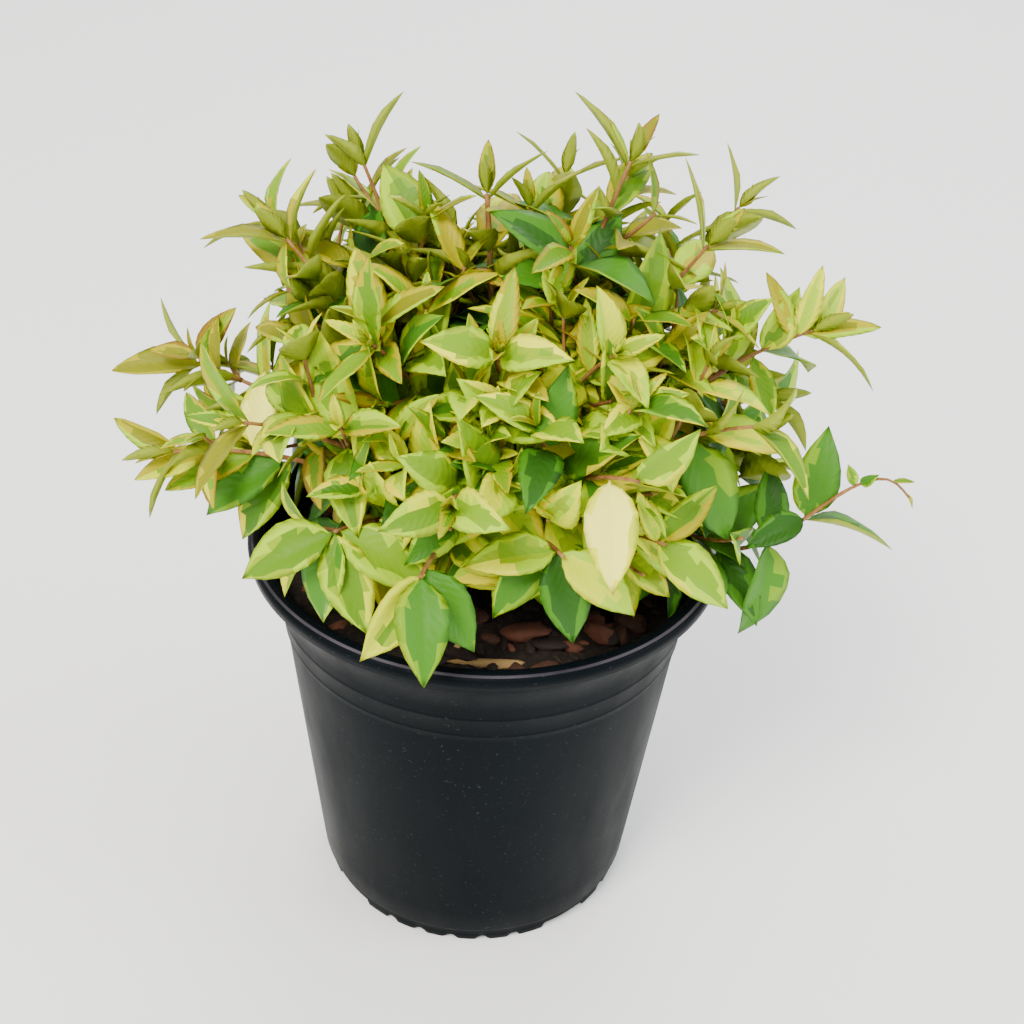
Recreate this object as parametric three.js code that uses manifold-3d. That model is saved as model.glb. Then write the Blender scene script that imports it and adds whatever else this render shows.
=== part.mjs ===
// Golden-variegated glossy abelia in a black nursery pot.
// Millimetres, +Z up. The origin is the middle of the pot's flat underside.
// The plant is seen from the -Y side, with +X to the right.

import * as THREE from 'three';
import { mergeVertices } from 'three/addons/utils/BufferGeometryUtils.js';
import Module from 'manifold-3d';

const wasm = await Module();
wasm.setup();

const UP = new THREE.Vector3(0, 0, 1);
const DEGREE = Math.PI / 180;

// Clearance between two pieces that touch on the real plant
const CLEARANCE = 0.3;
// Thinnest sliver of surface that a join may leave
const SLIVER = 0.005;

// Pot, turned about +Z
const ROUND_SIDES = 32;
const POT = {
  height: 171,
  rimRadius: 95,
  rimWidth: 7.5,
  rimBand: 6,
  rimTaper: 0.6,
  coveFootHeight: 146,
  coveFootRadius: 84,
  coveBulge: 2,
  coveBend: 10,
  coveSegments: 3,
  footRadius: 68.6,
  footHeight: 8,
  wall: 1.8,
  ringHeights: [131.3, 140.6],
  ringStep: 0.5,
  ringSlope: 0.4,
  padRadius: 44,
  channelDepth: 3,
  floor: 2.4,
};
// Scalloped ring that the pot stands on: four runs of six feet with wide gaps between them
const FOOT_RING = {
  innerRadius: 62,
  outerRadius: 66.4,
  runs: 4,
  feetPerRun: 6,
  firstGap: -142 * DEGREE,
  gapWidth: 19 * DEGREE,
  notchRadius: 2.6,
  notchSides: 6,
  gapHeight: 2.8,
  flare: 0.3,
  shoulder: 0.8,
};

// Growing mix with lumps of bark, filling the pot to a little below its rim
const MIX = {
  height: 158,
  edgeDrop: 3,
  edgeSlope: 9,
  unevenness: 1.2,
  surfaceRadii: [60, 46, 32],
  stemPadRadius: 17,
  lumps: 10,
  lumpSize: { from: 5.6, to: 9.6 },
  lumpWidth: { from: 0.6, to: 0.9 },
  lumpHeight: 0.45,
  lumpRaise: 0.3,
  lumpReach: { from: 30, to: 72 },
};

// Short main stem between the growing mix and the fork
const STEM = {
  height: 32,
  flareRadius: 12,
  flareHeight: 7,
  neckRadius: 8.6,
  forkRadius: 6.8,
  leanX: 2,
  leanY: 3,
  sides: 10,
  segments: 6,
  samples: 9,
};

// Each tier of shoots leaves the main stem at its own height and arches by its own amount
// Inner shoots are leafy from the main stem itself; the others stand on a bare bough first
// leaving is where a shoot heads for from its foot, out from the stem and up
// bendShare and arch place its bend, as a share of its reach and a height above the middle
const TIERS = {
  leader: {
    footHeight: 32, footSpacing: 360, leaving: { reach: 1, rise: 30 }, bendShare: 0.5, arch: 20,
    bareShare: 0.12, footRadius: 1.8, bough: false,
  },
  inner: {
    footHeight: 27.5, footSpacing: 46, leaving: { reach: 15, rise: 8 }, bendShare: 0.45, arch: 12,
    bareShare: 0.14, footRadius: 1.8, bough: false,
  },
  crown: {
    footHeight: 21.5, footSpacing: 40, leaving: { reach: 14, rise: 5 }, bendShare: 0.5, arch: 6,
    bareShare: 0.4, footRadius: 2, bough: true,
  },
  shoulder: {
    footHeight: 14.5, footSpacing: 31.5, leaving: { reach: 14, rise: 4 }, bendShare: 0.5, arch: 20,
    bareShare: 0.35, footRadius: 1.9, bough: true,
  },
  skirt: {
    footHeight: 7.5, footSpacing: 32, leaving: { reach: 14, rise: 3 }, bendShare: 0.5, arch: 27,
    bareShare: 0.38, footRadius: 2.1, bough: true,
  },
};
// Share of the turn between a shoot's foot and its tip that is left at its bend
const BEND_TURN_SHARE = 0.4;
const SPREADING_ROUNDS = 60;

// One line for each main shoot: where its tip stands, as azimuth in degrees from +X,
// reach from the pot's axis and height above the ground
const SHOOTS = [
  { name: 'top_right', tier: 'crown', azimuth: 18, reach: 48, height: 320 },
  { name: 'top_left', tier: 'crown', azimuth: 146, reach: 62, height: 308 },
  { name: 'upper_left', tier: 'crown', azimuth: 178, reach: 76, height: 290 },
  { name: 'left_high', tier: 'shoulder', azimuth: 152, reach: 100, height: 278 },
  { name: 'top_centre', tier: 'leader', azimuth: 110, reach: 14, height: 306 },
  { name: 'back_tuft', tier: 'crown', azimuth: 68, reach: 66, height: 296 },
  { name: 'right_cluster', tier: 'crown', azimuth: 356, reach: 74, height: 298 },
  { name: 'right_back', tier: 'shoulder', azimuth: 36, reach: 118, height: 282 },
  { name: 'right_arm', tier: 'shoulder', azimuth: 2, reach: 118, height: 262 },
  { name: 'left_arm', tier: 'shoulder', azimuth: 165, reach: 124, height: 222 },
  { name: 'left_low', tier: 'skirt', azimuth: 188, reach: 120, height: 210 },
  { name: 'right_trailing', tier: 'skirt', azimuth: 344, reach: 158, height: 214, curl: true },
  { name: 'front_upper_left', tier: 'inner', azimuth: 222, reach: 56, height: 270 },
  { name: 'front_middle', tier: 'inner', azimuth: 272, reach: 44, height: 272 },
  { name: 'front_upper_right', tier: 'inner', azimuth: 314, reach: 58, height: 272 },
  { name: 'front_left', tier: 'shoulder', azimuth: 212, reach: 100, height: 246 },
  { name: 'front_centre', tier: 'inner', azimuth: 262, reach: 84, height: 236 },
  { name: 'front_right', tier: 'shoulder', azimuth: 302, reach: 94, height: 246 },
  { name: 'right_shoulder', tier: 'shoulder', azimuth: 333, reach: 104, height: 250 },
  { name: 'front_left_skirt', tier: 'skirt', azimuth: 232, reach: 106, height: 212 },
  { name: 'front_skirt', tier: 'skirt', azimuth: 256, reach: 100, height: 208 },
  { name: 'front_right_skirt', tier: 'skirt', azimuth: 290, reach: 100, height: 212 },
  { name: 'right_skirt', tier: 'skirt', azimuth: 316, reach: 110, height: 208 },
  { name: 'right_low', tier: 'skirt', azimuth: 20, reach: 120, height: 212 },
  { name: 'back_left', tier: 'shoulder', azimuth: 120, reach: 104, height: 258 },
  { name: 'back', tier: 'shoulder', azimuth: 94, reach: 116, height: 232 },
  { name: 'back_right', tier: 'shoulder', azimuth: 62, reach: 114, height: 250 },
  { name: 'back_left_skirt', tier: 'skirt', azimuth: 126, reach: 116, height: 208 },
  { name: 'back_right_skirt', tier: 'skirt', azimuth: 64, reach: 118, height: 208 },
];

// Limbs and twigs
const LIMB_SIDES = 4;
const LIMB_SEGMENTS = 3;
const TWIG_SIDES = 3;
const TWIG_TIP_RADIUS = 0.9;
const SIDE_TWIG_RADIUS = 1.15;
const TWIG_FACE = new THREE.Vector3(0.3, 0.2, 1);
const BOUGH_TIP_RADIUS = 1.5;

// Growth rule: opposite leaves at each node, each pair turned a quarter round from the last,
// side twigs from the lower nodes, and a tuft of small upright leaves at each tip
const GROWTH = {
  seed: 4712,
  internode: 12,
  axilDrop: 4,
  sideTwigs: 1,
  sideTwigLength: 40,
  sideTwigAngle: 48 * DEGREE,
  lowLeafAngle: 72 * DEGREE,
  highLeafAngle: 46 * DEGREE,
  tuftAngle: 36 * DEGREE,
  sag: 0.5,
  tuftSpacing: 4,
  tuftPairs: 2,
  sideTuftPairs: 1,
  lowLeafLength: 58,
  highLeafLength: 50,
  tuftLeafLength: 34,
  curlBareShare: 0.3,
  sideTwigBend: 0.5,
  sideTwigReach: 0.35,
  sideTwigLift: 0.22,
  sideLeafShare: 0.55,
  sideLeafScale: 0.9,
  leafVariety: 0.12,
  twigVariety: 0.15,
};

// Leaf blade in units of its own length: ovate, folded up along the midrib, tip turned down
const LEAF = {
  widest: 0.4,
  width: 0.58,
  tuftWidth: 0.42,
  fold: 0.07,
  arch: 0.05,
  droop: 0.08,
  thickest: 0.32,
  thickness: 0.8,
  rootInset: 0.2,
  freeShare: 0.2,
  faceOutward: 0.9,
  faceAlong: 0.3,
};
const PLACING_TRIES = 9;
const RETRY_SHORTER = 0.92;
const RETRY_CLOSER = 0.88;
const RETRY_TURN = 1;

// Room that leaves keep from neighbouring shoots, limbs, pot and growing mix
const SPACE_MARGIN = 1;
const LIMB_MARGIN = 2.2;
const POT_MARGIN = 1.5;
const MIX_MARGIN = 4.5;
const TWIG_MARGIN = 2.2;
const NEIGHBOUR_REACH = 130;
// Steps in which a spine and a leaf, and spacing at which a limb, are sampled for telling what is near them
const SPINE_STEPS = 4;
const LEAF_SAMPLE_STEPS = 8;
const LIMB_SAMPLE_SPACING = 3;

const FINISHES = {
  pot: { color: 0x262b2e, roughness: 0.45 },
  mix: { color: 0x2e2119, roughness: 0.95 },
  stem: { color: 0x6b4a35, roughness: 0.85 },
  bough: { color: 0x8a5a3e, roughness: 0.7 },
  leaf: { color: 0xa3b63a, roughness: 0.5 },
};

// Seeded random numbers between 0 and 1
function seededRandom(seed) {
  let state = seed >>> 0;
  return () => {
    state = (state + 0x6d2b79f5) >>> 0;
    let mixed = Math.imul(state ^ (state >>> 15), state | 1);
    mixed ^= mixed + Math.imul(mixed ^ (mixed >>> 7), mixed | 61);
    return ((mixed ^ (mixed >>> 14)) >>> 0) / 4294967296;
  };
}

// Closed geometry to solid and back
function toSolid(geometry) {
  const bare = geometry.index ? geometry.toNonIndexed() : geometry.clone();
  bare.deleteAttribute('normal');
  bare.deleteAttribute('uv');
  const merged = mergeVertices(bare, 1e-4);
  return new wasm.Manifold(new wasm.Mesh({
    numProp: 3,
    vertProperties: new Float32Array(merged.attributes.position.array),
    triVerts: new Uint32Array(merged.index.array),
  }));
}

function toGeometry(solid) {
  const mesh = solid.getMesh();
  const geometry = new THREE.BufferGeometry();
  geometry.setAttribute('position', new THREE.BufferAttribute(new Float32Array(mesh.vertProperties), 3));
  geometry.setIndex(new THREE.BufferAttribute(new Uint32Array(mesh.triVerts), 1));
  geometry.computeVertexNormals();
  return geometry;
}

// Joins solids and keeps the main body, so a sealed hollow is filled and a loose scrap is dropped.
// Slivers along the joins that are thinner than SLIVER close up.
function joinToOneBody(solids) {
  const bodies = wasm.Manifold.union(solids).simplify(SLIVER).decompose();
  bodies.sort((first, second) => second.volume() - first.volume());
  return bodies[0];
}

function namedMesh(name, solid, finish) {
  const material = new THREE.MeshStandardMaterial({ ...finish, metalness: 0 });
  const mesh = new THREE.Mesh(toGeometry(solid), material);
  mesh.name = name;
  return mesh;
}

// Point at a given azimuth, reach and height
function polarPoint(azimuth, reach, height) {
  return new THREE.Vector3(reach * Math.cos(azimuth), reach * Math.sin(azimuth), height);
}

// Turns a profile of [radius, height] points about +Z
function turned(profile, sides) {
  const points = profile.map(([radius, height]) => new THREE.Vector2(radius, height));
  const geometry = new THREE.LatheGeometry(points, sides);
  geometry.rotateX(Math.PI / 2);
  return geometry;
}

// Outer radius of the pot's wall at a height below the cove
function potWallRadius(height) {
  const share = (height - POT.footHeight) / (POT.coveFootHeight - POT.footHeight);
  const steps = POT.ringHeights.filter((ring) => ring <= height).length;
  const straightTop = POT.coveFootRadius - POT.ringHeights.length * POT.ringStep;
  return POT.footRadius + (straightTop - POT.footRadius) * share + steps * POT.ringStep;
}

// Outer side of the cove that flares from the wall to the underside of the rim
function coveOutline() {
  const top = new THREE.Vector2(POT.rimRadius - POT.coveBulge, POT.height - POT.rimBand - 1);
  const foot = new THREE.Vector2(POT.coveFootRadius, POT.coveFootHeight);
  const bend = new THREE.Vector2(POT.coveFootRadius + POT.coveBulge, POT.coveFootHeight + POT.coveBend);
  return new THREE.QuadraticBezierCurve(foot, bend, top).getPoints(POT.coveSegments);
}

// Rounded rim as [radius, height] points, from the outside over the top to the inside
function rimOutline() {
  const { height, rimRadius, rimWidth, rimBand, rimTaper } = POT;
  return [
    [rimRadius - rimTaper, height - rimBand],
    [rimRadius, height - rimBand / 2],
    [rimRadius - rimWidth * 0.2, height - rimTaper],
    [rimRadius - rimWidth * 0.5, height],
    [rimRadius - rimWidth * 0.85, height - rimTaper],
    [rimRadius - rimWidth, height - rimBand / 2],
  ];
}

function potSolid() {
  const { wall, channelDepth, padRadius, footRadius, footHeight, ringSlope } = POT;
  const { innerRadius, outerRadius, flare, shoulder } = FOOT_RING;
  const profile = [
    [0, 0], [padRadius, 0], [padRadius + 2, channelDepth], [innerRadius - 1, channelDepth],
    [innerRadius, 0], [outerRadius, 0], [outerRadius + flare, footHeight - shoulder],
    [footRadius, footHeight],
  ];
  for (const ring of POT.ringHeights) {
    profile.push([potWallRadius(ring - ringSlope), ring - ringSlope], [potWallRadius(ring), ring]);
  }
  const cove = coveOutline();
  for (const point of cove) profile.push([point.x, point.y]);
  profile.push(...rimOutline());
  for (const point of cove.slice(0, -1).reverse()) profile.push([point.x - wall, point.y]);
  const floorTop = channelDepth + POT.floor;
  profile.push([footRadius - wall, floorTop], [0, floorTop]);
  const notches = footNotches().map((notch) => toSolid(notch));
  return toSolid(turned(profile, ROUND_SIDES)).subtract(wasm.Manifold.union(notches));
}

// Cuts between the feet: a round one between neighbours, and a wide one between runs
function footNotches() {
  const { runs, feetPerRun, firstGap, gapWidth, notchRadius, notchSides } = FOOT_RING;
  const { innerRadius, outerRadius } = FOOT_RING;
  const notches = [];
  const cutLength = outerRadius - innerRadius + 4;
  const middle = (innerRadius + outerRadius) / 2;
  const runWidth = (2 * Math.PI) / runs - gapWidth;
  for (let run = 0; run < runs; run += 1) {
    const gapAzimuth = firstGap + (run * 2 * Math.PI) / runs;
    const gap = new THREE.BoxGeometry(cutLength, gapWidth * outerRadius, 2 * FOOT_RING.gapHeight);
    gap.translate(middle, 0, 0);
    gap.rotateZ(gapAzimuth);
    notches.push(gap);
    for (let foot = 1; foot < feetPerRun; foot += 1) {
      const notch = new THREE.CylinderGeometry(notchRadius, notchRadius, cutLength, notchSides);
      notch.rotateZ(Math.PI / 2);
      notch.translate(middle, 0, 0);
      notch.rotateZ(gapAzimuth + gapWidth / 2 + (runWidth * foot) / feetPerRun);
      notches.push(notch);
    }
  }
  return notches;
}

// Number between two ends of a range
function inRange(range, share) {
  return range.from + (range.to - range.from) * share;
}

// Growing mix: an uneven top on a body that follows the inside of the pot
function mixSolid() {
  const random = seededRandom(GROWTH.seed);
  const edge = potWallRadius(POT.coveFootHeight) - POT.wall - CLEARANCE;
  const floorTop = POT.channelDepth + POT.floor + CLEARANCE;
  const profile = [
    [0, floorTop], [POT.footRadius - POT.wall - CLEARANCE, floorTop], [edge, POT.coveFootHeight],
    [edge + 1, MIX.height - MIX.edgeDrop], [edge - MIX.edgeSlope, MIX.height],
    ...MIX.surfaceRadii.map((radius) => [radius, MIX.height]),
    [MIX.stemPadRadius, MIX.height], [0, MIX.height],
  ];
  const geometry = turned(profile, ROUND_SIDES);
  const position = geometry.attributes.position;
  for (let corner = 0; corner < position.count; corner += 1) {
    const [x, y, z] = [position.getX(corner), position.getY(corner), position.getZ(corner)];
    const heave = Math.sin(x * 0.21 + 1.3) * Math.cos(y * 0.17 - 0.6) * MIX.unevenness;
    const onSurface = z > MIX.height - 1 && Math.hypot(x, y) > MIX.stemPadRadius + 1;
    if (onSurface) position.setZ(corner, z + heave);
  }
  const solids = [toSolid(geometry)];
  for (let lump = 0; lump < MIX.lumps; lump += 1) {
    const azimuth = ((lump + 0.6 * random()) / MIX.lumps) * 2 * Math.PI;
    const middle = polarPoint(azimuth, inRange(MIX.lumpReach, random()), MIX.height + MIX.lumpRaise);
    const bark = new THREE.IcosahedronGeometry(inRange(MIX.lumpSize, random()), 0);
    bark.scale(1, inRange(MIX.lumpWidth, random()), MIX.lumpHeight);
    bark.rotateZ(Math.PI * random());
    bark.translate(middle.x, middle.y, middle.z);
    solids.push(toSolid(bark));
  }
  return joinToOneBody(solids);
}

// Tapering limb: a cylinder bent along a curve. radiusAt gives its radius along it, from 0 to 1.
function taperedLimb(curve, radiusAt, sides, segments, side = new THREE.Vector3(1, 0, 0)) {
  const geometry = new THREE.CylinderGeometry(1, 1, 1, sides, segments);
  const position = geometry.attributes.position;
  const corner = new THREE.Vector3();
  for (let index = 0; index < position.count; index += 1) {
    corner.fromBufferAttribute(position, index);
    const share = corner.y + 0.5;
    const along = curve.getTangentAt(share);
    const across = side.clone().addScaledVector(along, -side.dot(along)).normalize();
    const over = new THREE.Vector3().crossVectors(along, across);
    const radius = radiusAt(share);
    const place = curve.getPointAt(share);
    place.addScaledVector(across, corner.z * radius).addScaledVector(over, corner.x * radius);
    position.setXYZ(index, place.x, place.y, place.z);
  }
  return geometry;
}

// Axis of the main stem, from its foot on the growing mix to the fork
function stemAxis(extraLength = 0) {
  const foot = new THREE.Vector3(0, 0, MIX.height + CLEARANCE - extraLength);
  const top = new THREE.Vector3(STEM.leanX, STEM.leanY, MIX.height + CLEARANCE + STEM.height + extraLength);
  return new THREE.QuadraticBezierCurve3(foot, new THREE.Vector3(0, 0, (foot.z + top.z) / 2), top);
}

function stemRadiusAt(share) {
  const flareShare = STEM.flareHeight / STEM.height;
  if (share < flareShare) {
    const rise = 1 - share / flareShare;
    return STEM.neckRadius + (STEM.flareRadius - STEM.neckRadius) * rise * rise;
  }
  const above = (share - flareShare) / (1 - flareShare);
  return STEM.neckRadius + (STEM.forkRadius - STEM.neckRadius) * above;
}

// Main stem, or with some extra size the room that it takes up
function mainStemSolid(extra = 0) {
  const radiusAt = (share) => stemRadiusAt(share) + extra;
  return toSolid(taperedLimb(stemAxis(extra), radiusAt, STEM.sides, STEM.segments));
}

// Turns sorted directions, in degrees, just enough that neighbours are at least a spacing apart
function spreadApart(azimuths, spacing) {
  const spread = [...azimuths];
  for (let round = 0; round < SPREADING_ROUNDS; round += 1) {
    spread.forEach((azimuth, rank) => {
      const next = (rank + 1) % spread.length;
      const apart = spread[next] - azimuth + (next === 0 ? 360 : 0);
      const lacking = Math.max(0, spacing - apart) / 2;
      spread[rank] -= lacking;
      spread[next] += lacking;
    });
  }
  return spread;
}

// Works out each shoot's curve, and where its bough ends and its foliage begins
function plannedShoots() {
  const axis = stemAxis();
  const planned = [];
  for (const [tierName, tier] of Object.entries(TIERS)) {
    const members = SHOOTS.filter((shoot) => shoot.tier === tierName);
    members.sort((first, second) => first.azimuth - second.azimuth);
    const feet = spreadApart(members.map((shoot) => shoot.azimuth), tier.footSpacing);
    members.forEach((shoot, rank) => {
      const foot = axis.getPointAt(tier.footHeight / STEM.height);
      const offset = new THREE.Vector3(foot.x, foot.y, 0);
      const bendAzimuth = shoot.azimuth + (feet[rank] - shoot.azimuth) * BEND_TURN_SHARE;
      const tip = polarPoint(shoot.azimuth * DEGREE, shoot.reach, shoot.height);
      const start = polarPoint(feet[rank] * DEGREE, tier.leaving.reach, foot.z + tier.leaving.rise);
      const bendHeight = (foot.z + tip.z) / 2 + tier.arch;
      const bend = polarPoint(bendAzimuth * DEGREE, shoot.reach * tier.bendShare, bendHeight);
      start.add(offset);
      bend.addScaledVector(offset, 0.5);
      planned.push({ ...shoot, ...tier, curve: new THREE.CubicBezierCurve3(foot, start, bend, tip) });
    });
  }
  for (const shoot of planned) {
    const length = shoot.curve.getLength();
    shoot.boughEnd = shoot.curve.getPointAt(shoot.bareShare);
    shoot.entry = shoot.curve.getTangentAt(shoot.bareShare);
    shoot.twigShare = shoot.bareShare + CLEARANCE / length;
    shoot.twigLength = length * (1 - shoot.twigShare);
    const spinePoints = new CurveStretch(shoot.curve, shoot.twigShare, 1).getPoints(SPINE_STEPS);
    shoot.spine = spinePoints.slice(1).map((point, step) => new THREE.Line3(spinePoints[step], point));
  }
  return planned;
}

// Part of a curve between two shares of its length
class CurveStretch extends THREE.Curve {
  constructor(curve, from, to) {
    super();
    this.curve = curve;
    this.from = from;
    this.to = to;
  }

  getPoint(share, target = new THREE.Vector3()) {
    return this.curve.getPointAt(this.from + (this.to - this.from) * share, target);
  }
}

function boughSolid(shoot, stemHollow) {
  const stretch = new CurveStretch(shoot.curve, 0, shoot.bareShare);
  const radiusAt = (share) => shoot.footRadius + (BOUGH_TIP_RADIUS - shoot.footRadius) * share;
  const limb = toSolid(taperedLimb(stretch, radiusAt, LIMB_SIDES, LIMB_SEGMENTS));
  return joinToOneBody([limb.subtract(stemHollow)]);
}

// Sample points along every bough and the main stem, each with the limb's radius there
function limbSamples(shoots) {
  const samples = [];
  const axis = stemAxis();
  for (let step = 0; step <= STEM.samples; step += 1) {
    const share = step / STEM.samples;
    samples.push({ point: axis.getPointAt(share), radius: stemRadiusAt(share) });
  }
  for (const shoot of shoots.filter((each) => each.bough)) {
    const length = shoot.curve.getLength() * shoot.bareShare;
    const steps = Math.ceil(length / LIMB_SAMPLE_SPACING);
    for (let step = 0; step <= steps; step += 1) {
      const point = shoot.curve.getPointAt((shoot.bareShare * step) / steps);
      samples.push({ point, radius: shoot.footRadius });
    }
  }
  return samples;
}

// Distance from a point to the line that a shoot's foliage grows on
function distanceToSpine(point, spine) {
  const nearest = new THREE.Vector3();
  return Math.min(...spine.map((line) => line.closestPointToPoint(point, true, nearest).distanceTo(point)));
}

// Room that one shoot's foliage may fill: nearer to its own spine than to any other's,
// past its bough's tip, and clear of limbs, growing mix and pot
class FoliageSpace {
  constructor(shoot, shoots, limbs) {
    this.shoot = shoot;
    this.neighbours = shoots.filter((other) => other !== shoot).map((other) => other.spine);
    this.limbs = limbs.filter((limb) => limb.point.distanceTo(shoot.boughEnd) < NEIGHBOUR_REACH);
  }

  owns(point, radius = 0) {
    const { entry, boughEnd, spine } = this.shoot;
    if (point.clone().sub(boughEnd).dot(entry) < CLEARANCE + radius) return false;
    const own = distanceToSpine(point, spine) + SPACE_MARGIN + 2 * radius;
    return this.neighbours.every((other) => distanceToSpine(point, other) > own);
  }

  clearOfThings(point) {
    const reach = Math.hypot(point.x, point.y);
    const overPot = reach < POT.rimRadius + POT_MARGIN;
    const overRim = overPot && reach > POT.rimRadius - POT.rimWidth - POT_MARGIN;
    if (overPot && point.z < MIX.height + MIX_MARGIN) return false;
    if (overRim && point.z < POT.height + POT_MARGIN) return false;
    if (point.z < POT.coveFootHeight) return false;
    return this.limbs.every((limb) => limb.point.distanceTo(point) > limb.radius + LIMB_MARGIN);
  }

  holds(corners) {
    return leafSamples(corners).every((sample) => this.clearOfThings(sample) && this.owns(sample));
  }
}

// Points spread over a leaf from its six corners
function leafSamples([base, tip, left, right, top, underside]) {
  const samples = [tip, underside];
  const alongEdge = (corner, cornerShare, share) => (share < cornerShare
    ? base.clone().lerp(corner, share / cornerShare)
    : corner.clone().lerp(tip, (share - cornerShare) / (1 - cornerShare)));
  for (let step = 1; step <= LEAF_SAMPLE_STEPS; step += 1) {
    const share = step / (LEAF_SAMPLE_STEPS + 1);
    const onMidrib = alongEdge(top, LEAF.thickest, share);
    const beside = [left, right].map((edge) => alongEdge(edge, LEAF.widest, share));
    samples.push(onMidrib, ...beside, ...beside.map((point) => point.clone().lerp(onMidrib, 0.5)));
  }
  return samples;
}

// Six corners of a leaf: base, tip, left, right, top and underside
function leafCorners(base, direction, facing, length, width) {
  const normal = facing.clone().addScaledVector(direction, -facing.dot(direction)).normalize();
  const across = new THREE.Vector3().crossVectors(normal, direction);
  const place = (along, sideways, up) => base.clone()
    .addScaledVector(direction, along).addScaledVector(across, sideways).addScaledVector(normal, up);
  const halfWidth = (width * length) / 2;
  const lift = LEAF.arch * length;
  return [
    place(LEAF.rootInset, 0, 0),
    place(length, 0, -LEAF.droop * length),
    place(LEAF.widest * length, halfWidth, lift + LEAF.fold * length),
    place(LEAF.widest * length, -halfWidth, lift + LEAF.fold * length),
    place(LEAF.thickest * length, 0, lift + LEAF.thickness / 2),
    place(LEAF.thickest * length, 0, lift - LEAF.thickness / 2),
  ];
}

// An octahedron whose six corners are moved to the leaf's
function leafGeometry([base, tip, left, right, top, underside]) {
  const geometry = new THREE.OctahedronGeometry(1);
  const position = geometry.attributes.position;
  for (let index = 0; index < position.count; index += 1) {
    const [x, y, z] = [position.getX(index), position.getY(index), position.getZ(index)];
    let corner = z > 0.5 ? top : underside;
    if (Math.abs(x) > 0.5) corner = x > 0 ? tip : base;
    if (Math.abs(y) > 0.5) corner = y > 0 ? left : right;
    position.setXYZ(index, corner.x, corner.y, corner.z);
  }
  return geometry;
}

// Faces and edges of a leaf, from a little way out of its twig, for telling whether it crosses another
const LEAF_FACES = [[0, 2, 4], [2, 1, 4], [1, 3, 4], [3, 0, 4], [2, 0, 5], [1, 2, 5], [3, 1, 5], [0, 3, 5]];
const LEAF_EDGES = [[0, 2], [2, 1], [1, 3], [3, 0], [0, 4], [4, 1], [2, 4], [4, 3], [2, 5], [5, 3]];

function freeBlade(corners) {
  const [base, tip, ...rest] = corners;
  return [base.clone().lerp(tip, LEAF.freeShare), tip, ...rest];
}

function edgesCross(first, second) {
  const ray = new THREE.Ray();
  const hit = new THREE.Vector3();
  return LEAF_EDGES.some(([from, to]) => {
    const length = first[from].distanceTo(first[to]);
    ray.origin.copy(first[from]);
    ray.direction.copy(first[to]).sub(first[from]).divideScalar(length);
    return LEAF_FACES.some(([a, b, c]) => ray.intersectTriangle(second[a], second[b], second[c], false, hit)
      && hit.distanceTo(first[from]) <= length);
  });
}

function leavesCross(first, second) {
  return edgesCross(first, second) || edgesCross(second, first);
}

function bladeTouches(blade, points) {
  const samples = leafSamples(blade);
  return points.some((point) => samples.some((sample) => sample.distanceTo(point) < TWIG_MARGIN));
}

// Direction leaning from one direction towards another at right angles to it
function leaning(along, side, angle) {
  return along.clone().multiplyScalar(Math.cos(angle)).addScaledVector(side, Math.sin(angle));
}

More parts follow.
